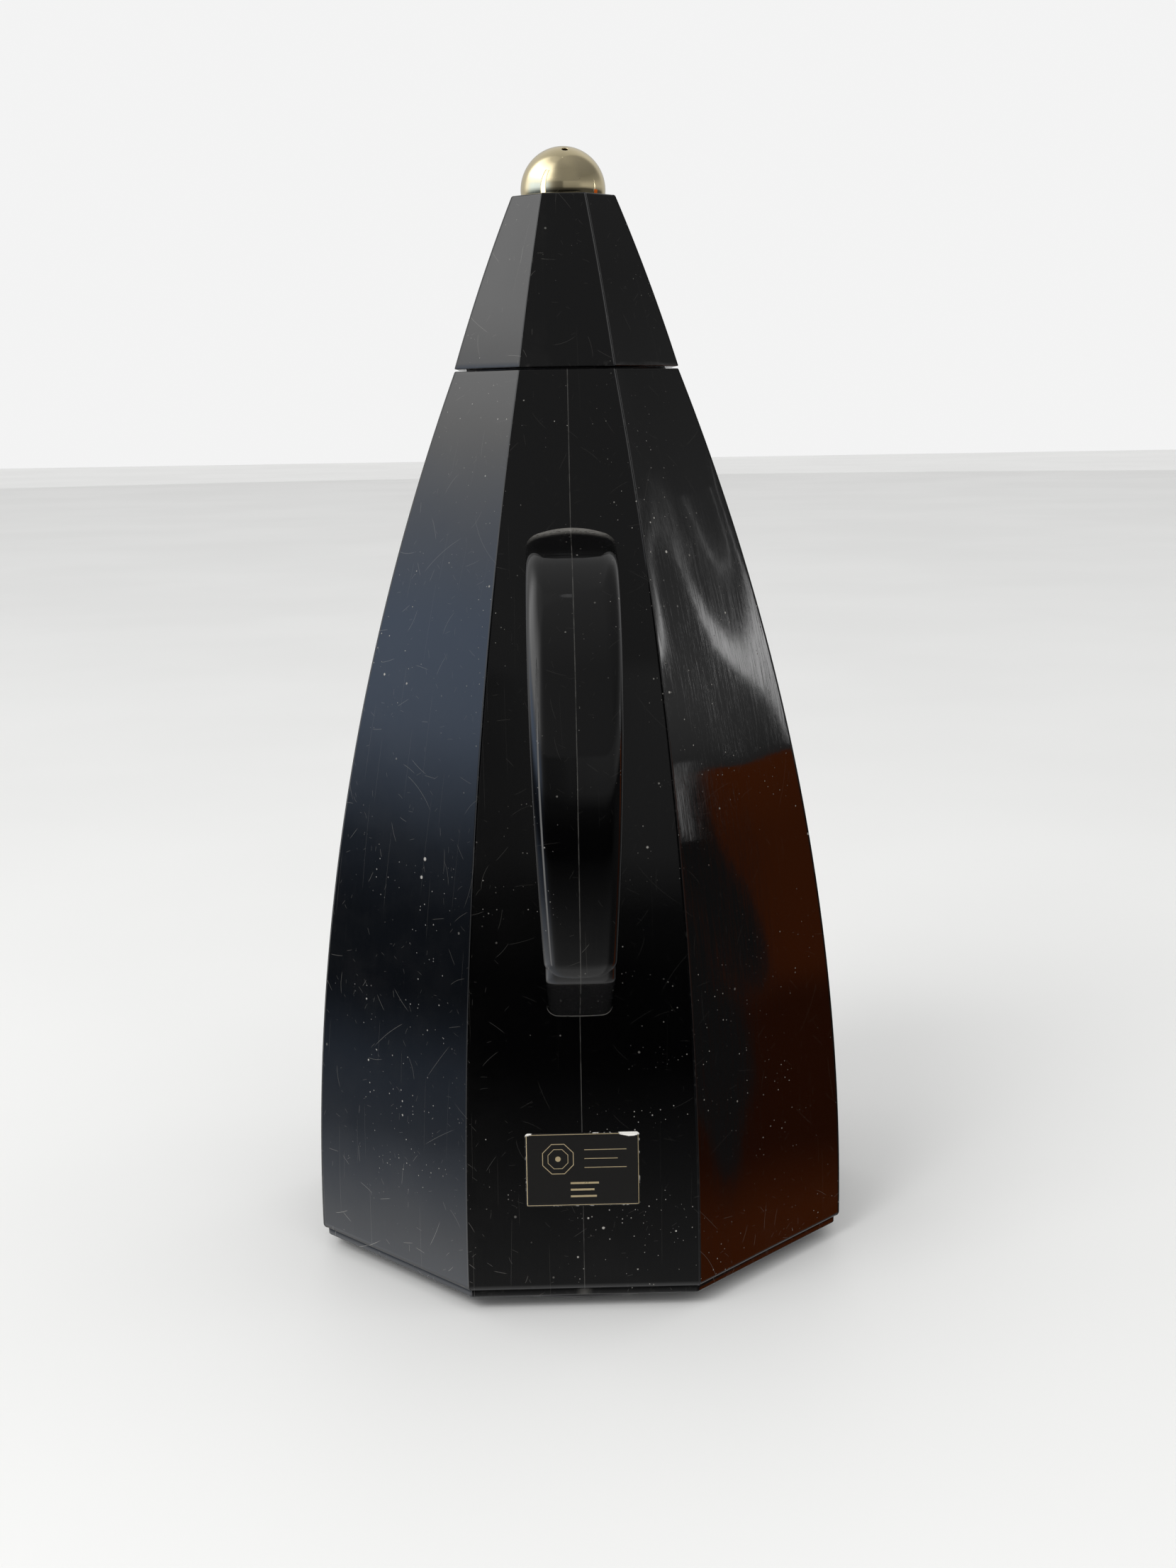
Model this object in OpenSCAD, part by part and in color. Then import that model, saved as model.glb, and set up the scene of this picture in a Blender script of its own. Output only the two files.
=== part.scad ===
// Octagonal vacuum carafe: a tapered eight-sided casing with a bow handle, and a
// pointed eight-sided lid whose gilt ball is the push button of the pouring valve.
// Frame: the table is z = 0, the casing's axis is X = Y = 0, the handle points
// to -Y and the spout to +Y. Millimetres.

/* [Casing] */
// Half width across the casing's flats, at the crown of its side curve
casing_half_w = 73.8; // [73.4:0.1:74.2]
// Radius of the side curve of every casing facet
casing_curve_r = 655; // [650:1:662]
// Level of the widest point of the side curve
casing_crown_z = 10.5; // [8:0.5:12]
// Level of the casing's lower edge above the table
casing_low_z = 6; // [6:0.1:6.4]
// Level of the casing's upper edge, at the seam under the lid
casing_top_z = 245; // [244.6:0.1:245.2]
// Wall thickness of the casing
casing_wall = 2.6; // [2.2:0.1:2.8]

/* [Handle] */
// Length of the handle's straight upper limb outside the casing
handle_limb = 17.8; // [16:0.2:19]
// Thickness of the grip from its outer to its inner face
handle_thick = 12; // [11:0.5:12.5]
// Greatest width of the handle, near its upper root
handle_top_w = 23.6; // [23:0.2:24.6]
// Width of the heel below the grip
heel_w = 17.5; // [17:0.1:18]
// Depth of the step from the grip's face down to the heel's face
heel_step = 0.8; // [0.4:0.1:1.2]

/* [Lid] */
// Half width that the lid's side curve has at its crown level
lid_crown_half_w = 53.45; // [53.3:0.05:53.6]
// Radius of the side curve of every lid facet
lid_curve_r = 518.7; // [517:0.5:520]
// Level of the crown of the lid's side curve
lid_crown_z = 92.8; // [92:0.2:93.4]
// Level of the lid's lower edge
lid_low_z = 245.6; // [245.5:0.1:245.7]
// Level of the lid's flat top
lid_top_z = 291.3; // [291:0.1:291.6]
// Wall thickness of the lid
lid_wall = 2.4; // [2:0.1:2.6]

/* [Button] */
// Diameter of the gilt ball
ball_d = 23.3; // [22.8:0.1:23.4]
// Level of the ball's centre with the button up
ball_z = 293.1; // [292.6:0.1:293.4]
// Radial gap between the ball and its opening in the lid
ball_gap = 0.25; // [0.2:0.05:0.35]
// Diameter of the push stem
stem_d = 6; // [5:0.5:6]
// Radial clearance of the stem in its guides
stem_clearance = 0.05; // [0.03:0.01:0.08]

/* [Flask] */
// Outer radius of the glass flask's body
flask_r = 52; // [50:0.5:52]
// Thickness of each glass wall
glass_wall = 1.6; // [1.4:0.1:1.8]
// Distance between the outer faces of the two glass walls, along the body
wall_pitch = 6; // [5.5:0.1:6.2]
// Outer radius of the flask's neck
neck_out_r = 26; // [25.5:0.1:26.2]
// Inner radius of the flask's mouth
mouth_r = 19.6; // [19.4:0.1:19.7]
// Level of the flask's lip
lip_z = 223; // [222.5:0.1:223]

/* [Base] */
// Half width of the octagonal bottom ring across its flats
bottom_half_w = 72.5; // [72:0.1:73]
// Radius of the round base cap
base_cap_r = 68; // [66:0.5:69]

/* [Label] */
// Width of the badge on the handle's facet
label_w = 30; // [26:1:32]
// Height of the badge
label_h = 20; // [16:1:22]
// Level of the badge's middle
label_z = 39.7; // [36:0.1:44]

/* [Hidden] */

$fn = 96;
// Finer circles for the long side curves, which have few degrees of arc
curve_fn = 720;
// Overshoot of a cut past the face that it leaves through
over = 1;
// Shorter overshoot, where a curved form runs just past a casing edge
lap = 0.5;
// Gap left between two pieces that are glued, screwed or pressed together
joint_gap = 0.05;

// ---- casing and handle
bore_reach = 90;
facet_turn = 22.5;
// Where the handle's outer face leaves the casing, outwards from the axis and up
bow_root = [44.4, 204.5];
limb_a = 78;
// The outer face's arcs from the limb down: radius, then the angles of its outward normal
grip_arcs = [[25, 78, 57], [75, 57, 8], [127, 8, 1], [231, 1, -5], [34, -5, -14]];
grip_end_a = -14;
heel_a = -60.3;
heel_bend_r = 3;
finger_bend_r = 14;
finger_turn_a = -2.8;
grip_end_z = 100;
grip_wide_z = 195;
grip_side_r = 1500;
root_crown = 2.8;
low_limb_run = 60;
bow_drop = 150;
bow_span = 240;

// ---- neck collar and its bayonet
collar_low_z = 226;
collar_ledge_z = 231;
collar_top_z = 243.6;
collar_bore_r = 21.6;
rim_in_r = 25.2;
rim_out_r = 27.6;
rim_top_z = 245.4;
slot_floor_z = 235;
slot_r = 24.4;
lug_r = 24.1;
lug_half_angle = 8;
lug_angles = [8, 128, 248];
lid_turn_angle = 45;
slot_spare_angle = 2;

// ---- pouring channel and spout
channel_w = 12;
channel_low_z = 236;
channel_top_z = 241;
spout_root_w = 24;
spout_tip_w = 9;
spout_tip_y = 54;
spout_low_z = 224;
spout_wall = 2.2;

// ---- stopper
plug_r = 18.4;
housing_r = 21.3;
chamber_r = 16.2;
plug_low_z = 214;
plug_floor = 2.5;
shoulder_z = 231.3;
flange_low_z = 245.8;
flange_top_z = 248.2;
flange_r = 27.3;
port_r = 8;
seal_groove_r = 17.6;
seal_low_z = 223.6;
seal_high_z = 229.4;
seal_r = 19.35;

// ---- lid
boss_angles = [45, 135, 225, 315];
boss_at_r = 22.4;
boss_r = 2.8;
boss_top_z = 258;
screw_r = 1.2;
screw_head_r = 2.3;
screw_head_h = 1.35;
screw_top_z = 256;
guide_low_z = 267;
guide_top_z = 270;
guide_tube_r = 6.2;
lid_roof = 5.3;
foam_low_z = 248.4;
foam_top_z = 262;

// ---- button
ball_r = ball_d / 2;
stem_r = stem_d / 2;
ball_flat_z = 283.4;
ball_socket_depth = 5.6;
vent_r = 0.9;
vent_depth = 3;
vent_tilt = 28;
vent_side_tilt = 3.6;
stem_low_z = 206.5;
cap_low_z = 281.6;
spring_r = 5;
spring_wire_r = 0.55;
spring_turns = 5;
disc_r = 11;
disc_low_z = 210.5;
disc_top_z = 213;
seal_top_z = 213.9;
nut_low_z = 207;
nut_r = 5.2;

// ---- flask outline
flask_low_z = 22;
low_corner_r = 30;
body_low_z = flask_low_z + low_corner_r;
body_high_z = 158;
shoulder_r = 44;
tip_low_z = 16;
inner_neck_r = mouth_r + glass_wall;

// ---- base
ring_low_z = 4;
ring_high_z = 10;
opening_r = 60;
cap_under_z = 0.8;
cap_over_z = 3.9;
skirt_top_z = 16;
foot_in_r = 60.6;
foot_out_r = 65.9;
foot_top_z = 2.3;
cushion_r = 21;
cushion_hole_r = 8;
cushion_low_z = 14;
cup_r = 24;
cup_low_z = 10.5;
cup_rim_z = 18;

// A slab bounded by two opposite facets, each curved in the upright plane only.
module curved_slab(curve_r, centre_shift, crown_z, low_z, high_z) {
    rotate([90, 0, 0])
        linear_extrude(height = 2 * bore_reach, center = true)
            intersection() {
                translate([-centre_shift, crown_z]) circle(r = curve_r, $fn = curve_fn);
                translate([centre_shift, crown_z]) circle(r = curve_r, $fn = curve_fn);
                translate([-bore_reach, low_z]) square([2 * bore_reach, high_z - low_z]);
            }
}

// Eight curved facets: four slabs crossed at 45 degrees.
module curved_octagon(curve_r, centre_shift, crown_z, low_z, high_z) {
    intersection_for(turn = [0, 45, 90, 135])
        rotate([0, 0, turn])
            curved_slab(curve_r, centre_shift, crown_z, low_z, high_z);
}

// The casing's outer form, grown outwards by grow, which may be negative.
module casing_form(grow, low_z, high_z) {
    curved_octagon(casing_curve_r + grow, casing_curve_r - casing_half_w,
                   casing_crown_z, low_z, high_z);
}

// The lid's outer form, grown outwards by grow, which may be negative.
module lid_form(grow, low_z, high_z) {
    curved_octagon(lid_curve_r + grow, lid_curve_r - lid_crown_half_w,
                   lid_crown_z, low_z, high_z);
}

module tube(out_r, in_r, low_z, high_z) {
    difference() {
        translate([0, 0, low_z]) cylinder(r = out_r, h = high_z - low_z);
        translate([0, 0, low_z - over]) cylinder(r = in_r, h = high_z - low_z + 2 * over);
    }
}

module disc(r, low_z, high_z) {
    translate([0, 0, low_z]) cylinder(r = r, h = high_z - low_z);
}

// A block over the angles from start to start + sweep, between two radii.
module ring_sector(in_r, out_r, low_z, high_z, start, sweep) {
    rotate([0, 0, start])
        rotate_extrude(angle = sweep)
            translate([in_r, low_z]) square([out_r - in_r, high_z - low_z]);
}

// The straight passage from the stopper through the collar and the casing.
module pouring_channel(spare) {
    translate([-channel_w / 2 - spare, 0, channel_low_z - spare])
        cube([channel_w + 2 * spare, spout_tip_y - 8, channel_top_z - channel_low_z + 2 * spare]);
}

module outer_casing() {
    color("#141416")
        difference() {
            casing_form(0, casing_low_z, casing_top_z);
            casing_form(-casing_wall, casing_low_z - lap, casing_top_z + lap);
            pouring_channel(0);
        }
}

function heading(a) = [cos(a), sin(a)];
function down_along(a) = [sin(a), -cos(a)];

// Points of arcs that run on smoothly from a start, each [radius, from angle, to angle].
function arc_run(start, arcs, i = 0) =
    i == len(arcs) ? [start]
    : let (r = arcs[i][0], a = arcs[i][1], b = arcs[i][2],
           centre = start - r * heading(a),
           steps = ceil(abs(b - a) / 3) + 1)
      concat([for (k = [0:steps - 1]) centre + r * heading(a + (b - a) * k / steps)],
             arc_run(centre + r * heading(b), arcs, i + 1));

// The bow from the side, x outwards and y upwards: everything within a face that lies
// inset behind the outer face, follows the arcs and leaves along last_a at its low end.
module bow_side(inset, arcs, last_a) {
    limb_end = bow_root + handle_limb * down_along(limb_a) - inset * heading(limb_a);
    face = arc_run(limb_end, arcs);
    polygon(concat([limb_end - 2 * handle_limb * down_along(limb_a)], face,
                   [face[len(face) - 1] + low_limb_run * down_along(last_a)],
                   [[0, bow_root[1] - bow_drop], [0, bow_root[1] - inset]]));
}

function inset_arcs(inset, count) =
    [for (i = [0:count - 1]) [grip_arcs[i][0] - inset, grip_arcs[i][1], grip_arcs[i][2]]];

// The finger hole, open towards the casing.
module finger_side() {
    bow_side(handle_thick,
             concat(inset_arcs(handle_thick, 3),
                    [[grip_arcs[3][0] - handle_thick, grip_arcs[3][1], finger_turn_a],
                     [finger_bend_r, finger_turn_a, heel_a]]),
             heel_a);
}

module side_slab() {
    rotate([90, 0, -90])
        linear_extrude(height = 2 * handle_top_w, center = true)
            difference() {
                children();
                finger_side();
            }
}

module front_slab() {
    rotate([90, 0, 0])
        linear_extrude(height = 2 * bore_reach)
            children();
}

// The grip's outline as seen from behind: curved sides under a crowned top.
module grip_front() {
    half_w = handle_top_w / 2;
    crown_r = (half_w * half_w + root_crown * root_crown) / (2 * root_crown);
    intersection() {
        translate([grip_side_r - half_w, grip_wide_z]) circle(r = grip_side_r, $fn = curve_fn);
        translate([half_w - grip_side_r, grip_wide_z]) circle(r = grip_side_r, $fn = curve_fn);
        union() {
            translate([0, bow_root[1] - crown_r]) circle(r = crown_r);
            translate([-handle_top_w, grip_end_z])
                square([2 * handle_top_w, bow_root[1] - crown_r - grip_end_z]);
        }
    }
}

module handle_grip() {
    color("#18181a")
        difference() {
            intersection() {
                side_slab() bow_side(0, grip_arcs, grip_end_a);
                front_slab() grip_front();
            }
            casing_form(joint_gap, 0, bow_span);
        }
}

module handle_heel() {
    color("#18181a")
        difference() {
            intersection() {
                side_slab()
                    bow_side(heel_step,
                             concat(inset_arcs(heel_step, 5), [[heel_bend_r, grip_end_a, heel_a]]),
                             heel_a);
                front_slab()
                    translate([-heel_w / 2, 0]) square([heel_w, grip_end_z - joint_gap]);
            }
            casing_form(joint_gap, 0, bow_span);
        }
}

// The beak's side view, set in by inset, x outwards from the axis.
module spout_side(inset) {
    polygon([[20, spout_low_z + inset], [36, spout_low_z + inset],
             [spout_tip_y - inset, collar_top_z - 3 + inset],
             [spout_tip_y - inset, collar_top_z + (inset > 0 ? over : 0)],
             [20, collar_top_z + (inset > 0 ? over : 0)]]);
}

module spout_plan(inset) {
    polygon([[-spout_root_w / 2 + inset, 20], [spout_root_w / 2 - inset, 20],
             [spout_root_w / 2 - inset, 33], [spout_tip_w / 2 - inset, spout_tip_y],
             [-spout_tip_w / 2 + inset, spout_tip_y], [-spout_root_w / 2 + inset, 33]]);
}

module spout_block(inset) {
    intersection() {
        rotate([90, 0, 90])
            linear_extrude(height = 2 * spout_root_w, center = true) spout_side(inset);
        translate([0, 0, spout_low_z - over])
            linear_extrude(height = 40) spout_plan(inset);
    }
}

module pouring_spout() {
    color("#141416")
        difference() {
            spout_block(0);
            intersection() {
                spout_block(spout_wall);
                translate([-spout_root_w, 20, channel_low_z]) cube([2 * spout_root_w, 60, 20]);
            }
            casing_form(joint_gap, 0, 260);
        }
}

module label() {
    film = 0.25;
    color("#0c0c0c")
        intersection() {
            translate([-label_w / 2, -bore_reach, label_z - label_h / 2])
                cube([label_w, bore_reach, label_h]);
            difference() {
                casing_form(film, 20, 60);
                casing_form(0.01, 10, 70);
            }
        }
}

module neck_collar() {
    color("#1c1c1e")
        difference() {
            union() {
                casing_form(-casing_wall - joint_gap, collar_low_z, collar_top_z);
                tube(rim_out_r, rim_in_r, collar_top_z - over, rim_top_z);
            }
            disc(mouth_r, collar_low_z - over, collar_ledge_z + over);
            disc(collar_bore_r, collar_ledge_z, collar_top_z + over);
            for (a = lug_angles)
                ring_sector(collar_bore_r - over, slot_r, slot_floor_z, collar_top_z + over,
                            a - lug_half_angle - slot_spare_angle,
                            lid_turn_angle + 2 * (lug_half_angle + slot_spare_angle));
            pouring_channel(0);
        }
}

module collar_gasket() {
    color("#d9d5c8") tube(neck_out_r, mouth_r + 0.2, lip_z + joint_gap, collar_low_z - joint_gap);
}

// Half outline of the bottle, set in by inset, with a neck of radius neck_r.
module bottle_half(inset, neck_r, top_z) {
    corner = low_corner_r - inset;
    shoulder = shoulder_r - inset;
    intersection() {
        square([2 * flask_r, top_z]);
        union() {
            translate([0, body_low_z]) square([flask_r - inset, body_high_z - body_low_z]);
            translate([flask_r - low_corner_r, body_low_z]) circle(r = corner);
            translate([0, body_low_z - corner]) square([flask_r - low_corner_r, corner]);
            translate([flask_r - shoulder_r, body_high_z]) circle(r = shoulder);
            translate([0, body_high_z]) square([flask_r - shoulder_r, shoulder]);
            translate([0, body_high_z]) square([neck_r, top_z - body_high_z]);
        }
    }
}

module flask_outer_wall() {
    color("#c9ced2") {
        difference() {
            rotate_extrude()
                difference() {
                    bottle_half(0, neck_out_r, lip_z);
                    bottle_half(glass_wall, neck_out_r - glass_wall, lip_z - glass_wall);
                    translate([0, lip_z - 2 * glass_wall])
                        square([inner_neck_r + joint_gap, 3 * glass_wall]);
                }
        }
        translate([0, 0, tip_low_z]) cylinder(r1 = 1.2, r2 = 3.5, h = flask_low_z - tip_low_z);
    }
}

module flask_inner_wall() {
    color("#dfe3e6")
        rotate_extrude()
            difference() {
                bottle_half(wall_pitch, inner_neck_r, lip_z);
                bottle_half(wall_pitch + glass_wall, mouth_r, lip_z + over);
            }
}

module wall_spacer_pads() {
    color("#8f8a80")
        for (a = [0, 120, 240])
            rotate([0, 0, a])
                translate([14, 0, flask_low_z + glass_wall + joint_gap])
                    cylinder(r = 5, h = wall_pitch - glass_wall - 2 * joint_gap);
}

module support_cushion() {
    color("#3a3a3a")
        tube(cushion_r, cushion_hole_r, cushion_low_z + joint_gap, flask_low_z - joint_gap);
}

module support_cup() {
    color("#e6e3da")
        difference() {
            disc(cup_r, cup_low_z, cup_rim_z);
            disc(cushion_r + 0.2, cushion_low_z, cup_rim_z + over);
            disc(cushion_hole_r, cup_low_z - over, cushion_low_z + over);
        }
}

module bottom_ring() {
    color("#141416")
        difference() {
            union() {
                rotate([0, 0, facet_turn])
                    translate([0, 0, ring_low_z])
                        cylinder(r = bottom_half_w / cos(facet_turn),
                                 h = casing_low_z - ring_low_z, $fn = 8);
                casing_form(-casing_wall - joint_gap, casing_low_z - lap, ring_high_z);
            }
            disc(opening_r, 0, ring_high_z + over);
        }
}

module base_cap() {
    skirt_r = opening_r - 0.2;
    skirt_wall = 2.5;
    pillar_r = 25;
    color("#19191b")
        difference() {
            union() {
                disc(base_cap_r - 1, cap_under_z, cap_over_z);
                disc(base_cap_r, cap_under_z + 0.8, cap_over_z);
                tube(skirt_r, skirt_r - skirt_wall, cap_over_z - over, skirt_top_z);
                disc(pillar_r, cap_over_z - over, cup_low_z - joint_gap);
            }
            tube(foot_out_r + joint_gap, foot_in_r - joint_gap, 0, foot_top_z + joint_gap);
            disc(pillar_r - 4, cap_over_z + 1, cup_low_z + over);
        }
}

module foot_ring() {
    color("#222222") tube(foot_out_r, foot_in_r, 0, foot_top_z);
}

module neck_seal() {
    fin_h = 1.2;
    seal_core_r = 18.7;
    color("#4a4a4a")
        rotate_extrude()
            difference() {
                union() {
                    translate([0, seal_low_z]) square([seal_core_r, seal_high_z - seal_low_z]);
                    for (z = [seal_low_z, (seal_low_z + seal_high_z - fin_h) / 2,
                              seal_high_z - fin_h])
                        translate([0, z]) square([seal_r, fin_h]);
                }
                translate([0, seal_low_z - over])
                    square([seal_groove_r + joint_gap, seal_high_z - seal_low_z + 2 * over]);
            }
}

module screw_bosses() {
    intersection() {
        for (a = boss_angles)
            rotate([0, 0, a])
                translate([boss_at_r, 0, 0])
                    disc(boss_r, flange_top_z + joint_gap, boss_top_z);
        lid_form(-0.5, lid_low_z, lid_top_z);
    }
}

module lid_shell() {
    color("#141416")
        difference() {
            union() {
                difference() {
                    lid_form(0, lid_low_z, lid_top_z);
                    lid_form(-lid_wall, lid_low_z - over, lid_top_z - lid_roof);
                }
                screw_bosses();
            }
            disc(ball_r + ball_gap, lid_top_z - lid_roof - over, lid_top_z + over);
            for (a = boss_angles)
                rotate([0, 0, a])
                    translate([boss_at_r, 0, 0])
                        disc(screw_r + joint_gap, lid_low_z, screw_top_z + 0.5);
        }
}

module stem_guide() {
    color("#2a2a2c")
        difference() {
            union() {
                lid_form(-lid_wall - joint_gap, guide_low_z, guide_top_z);
                disc(guide_tube_r, flange_top_z + joint_gap, guide_low_z + over);
            }
            disc(stem_r + stem_clearance, flange_top_z - over, guide_top_z + over);
        }
}

module lid_insulation() {
    color("#eceae4")
        difference() {
            lid_form(-lid_wall - 0.6, foam_low_z, foam_top_z);
            disc(guide_tube_r + 0.3, foam_low_z - over, foam_top_z + over);
            for (a = boss_angles)
                rotate([0, 0, a])
                    translate([boss_at_r, 0, 0]) disc(boss_r + 0.4, foam_low_z - over, foam_top_z + over);
        }
}

module stopper_housing() {
    o_ring_pocket_r = 6;
    color("#232325")
        difference() {
            union() {
                disc(plug_r, plug_low_z, shoulder_z + over);
                disc(housing_r, shoulder_z, flange_top_z);
                disc(flange_r, flange_low_z, flange_top_z);
                for (a = lug_angles)
                    ring_sector(housing_r - over, lug_r, slot_floor_z + 1, slot_floor_z + 4,
                                a - lug_half_angle, 2 * lug_half_angle);
            }
            disc(chamber_r, plug_low_z + plug_floor, flange_low_z);
            disc(port_r, plug_low_z - over, plug_low_z + plug_floor + over);
            tube(plug_r + over, seal_groove_r, seal_low_z - 0.1, seal_high_z + 0.1);
            translate([-channel_w / 2 + 0.5, 0, channel_low_z + 0.5])
                cube([channel_w - 1, housing_r + over, channel_top_z - channel_low_z - 1]);
            disc(stem_r + stem_clearance, flange_low_z - over, flange_top_z + over);
            disc(o_ring_pocket_r, flange_low_z + 0.5, flange_top_z + over);
            for (a = boss_angles)
                rotate([0, 0, a])
                    translate([boss_at_r, 0, 0]) {
                        disc(screw_r + 0.3, flange_low_z - over, flange_top_z + over);
                        disc(screw_head_r + 0.3, flange_low_z - over, flange_low_z + screw_head_h + 0.1);
                    }
        }
}

module stem_o_ring() {
    section_r = 0.9;
    color("#3c3c3c")
        rotate_extrude()
            translate([stem_r + stem_clearance + section_r, flange_low_z + 0.55 + section_r])
                circle(r = section_r, $fn = 32);
}

module lid_screws() {
    color("#b9bcbf")
        for (a = boss_angles)
            rotate([0, 0, a])
                translate([boss_at_r, 0, 0])
                    difference() {
                        union() {
                            disc(screw_head_r, flange_low_z + 0.05, flange_low_z + screw_head_h);
                            disc(screw_r, flange_low_z + 0.05, screw_top_z);
                        }
                        translate([-screw_head_r, -0.3, flange_low_z - over])
                            cube([2 * screw_head_r, 0.6, over + 0.6]);
                        translate([-0.3, -screw_head_r, flange_low_z - over])
                            cube([0.6, 2 * screw_head_r, over + 0.6]);
                    }
}

module ball_button() {
    color("#d8c48e")
        difference() {
            translate([0, 0, ball_z]) sphere(r = ball_r);
            disc(ball_r, ball_z - 2 * ball_r, ball_flat_z);
            disc(stem_r + 0.02, ball_flat_z - over, ball_flat_z + ball_socket_depth);
            translate([0, 0, ball_z])
                rotate([vent_tilt, vent_side_tilt, 0])
                    disc(vent_r, ball_r - vent_depth, ball_r + over);
        }
}

module push_stem() {
    color("#b9bcbf") disc(stem_r, stem_low_z, ball_flat_z + ball_socket_depth - joint_gap);
}

module spring_cap() {
    color("#b9bcbf") tube(6.4, stem_r + 0.02, cap_low_z, ball_flat_z - 0.02);
}

// A round wire wound about the stem, as rings of points joined by quads.
module return_spring() {
    sides = 8;
    steps = 20 * spring_turns;
    low_z = guide_top_z + spring_wire_r + 0.02;
    rise = cap_low_z - spring_wire_r - 0.02 - low_z;
    function ring_at(i) = [for (k = [0:sides - 1])
        let (turn = 360 * spring_turns * i / steps, around = 360 * k / sides)
        [(spring_r + spring_wire_r * cos(around)) * cos(turn),
         (spring_r + spring_wire_r * cos(around)) * sin(turn),
         low_z + rise * i / steps + spring_wire_r * sin(around)]];
    points = [for (i = [0:steps]) each ring_at(i)];
    quads = [for (i = [0:steps - 1]) for (k = [0:sides - 1])
        [i * sides + k, (i + 1) * sides + k,
         (i + 1) * sides + (k + 1) % sides, i * sides + (k + 1) % sides]];
    start_cap = [[for (k = [0:sides - 1]) k]];
    end_cap = [[for (k = [0:sides - 1]) steps * sides + sides - 1 - k]];
    color("#b9bcbf") polyhedron(points, concat(quads, start_cap, end_cap));
}

module valve_disc() {
    color("#e6e3da") tube(disc_r, stem_r + 0.02, disc_low_z, disc_top_z);
}

module valve_seal() {
    color("#4a4a4a") tube(disc_r, stem_r + 2, disc_top_z + 0.02, seal_top_z);
}

module valve_nut() {
    color("#b9bcbf")
        difference() {
            translate([0, 0, nut_low_z]) cylinder(r = nut_r, h = disc_low_z - nut_low_z - 0.02, $fn = 6);
            disc(stem_r + 0.02, nut_low_z - over, disc_low_z + over);
        }
}

outer_casing();
handle_grip();
handle_heel();
pouring_spout();
label();
neck_collar();
collar_gasket();
flask_outer_wall();
flask_inner_wall();
wall_spacer_pads();
support_cushion();
support_cup();
bottom_ring();
base_cap();
foot_ring();
neck_seal();
lid_shell();
stem_guide();
lid_insulation();
stopper_housing();
stem_o_ring();
lid_screws();
ball_button();
push_stem();
spring_cap();
return_spring();
valve_disc();
valve_seal();
valve_nut();
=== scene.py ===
"""Looks of the octagonal vacuum carafe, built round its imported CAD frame. Metres, +Z up."""

import math
from contextlib import contextmanager

import bmesh
import bpy
import numpy as np
from mathutils import Euler, Matrix, Vector


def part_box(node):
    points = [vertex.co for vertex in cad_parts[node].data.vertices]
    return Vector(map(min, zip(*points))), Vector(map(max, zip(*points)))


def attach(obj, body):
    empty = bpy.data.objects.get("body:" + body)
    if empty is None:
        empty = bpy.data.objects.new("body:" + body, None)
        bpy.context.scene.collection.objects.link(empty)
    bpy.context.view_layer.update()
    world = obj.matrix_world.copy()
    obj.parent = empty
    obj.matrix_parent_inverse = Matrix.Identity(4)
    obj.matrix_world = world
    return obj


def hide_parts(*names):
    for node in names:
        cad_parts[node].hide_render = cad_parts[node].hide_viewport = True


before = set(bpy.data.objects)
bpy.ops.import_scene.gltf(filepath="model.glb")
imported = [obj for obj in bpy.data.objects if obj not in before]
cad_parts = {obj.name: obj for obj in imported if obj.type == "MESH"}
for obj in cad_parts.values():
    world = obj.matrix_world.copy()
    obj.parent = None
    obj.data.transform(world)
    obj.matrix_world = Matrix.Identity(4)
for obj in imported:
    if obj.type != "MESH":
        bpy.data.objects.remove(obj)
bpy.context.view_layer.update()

MM = 0.001
EIGHTH = math.pi / 4
HALF_FACET = math.tan(math.pi / 8)

# ---------------------------------------------------------------- sizes from the frame
casing_low, casing_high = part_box("outer_casing")
lid_low, lid_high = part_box("lid_shell")
ball_low, ball_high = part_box("ball_button")
grip_low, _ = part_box("handle_grip")
label_low, label_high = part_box("label")
ring_low, ring_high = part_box("bottom_ring")
cap_low, cap_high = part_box("base_cap")
_, foot_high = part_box("foot_ring")

# The side curves of the casing's and the lid's facets, as in the CAD source
CASING = {"radius": 655 * MM, "crown_z": 10.5 * MM, "half": casing_high.x}
LID = {"radius": 518.7 * MM, "crown_z": 92.8 * MM, "half": 53.45 * MM}
CASING_WALL = 2.6 * MM
LID_WALL = 2.4 * MM
SKIN = 0.12 * MM  # the visual skin lies this far inside the CAD form
CASING_EDGE_R = 0.6 * MM
LID_EDGE_R = 0.55 * MM
RIM_R = 0.3 * MM  # rounding of the two rims at the seam


def half_width(form, z):
    """Half width across the flats of a curved octagonal form at level z."""
    drop = z - form["crown_z"]
    return form["half"] - form["radius"] + math.sqrt(form["radius"] ** 2 - drop * drop)


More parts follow.
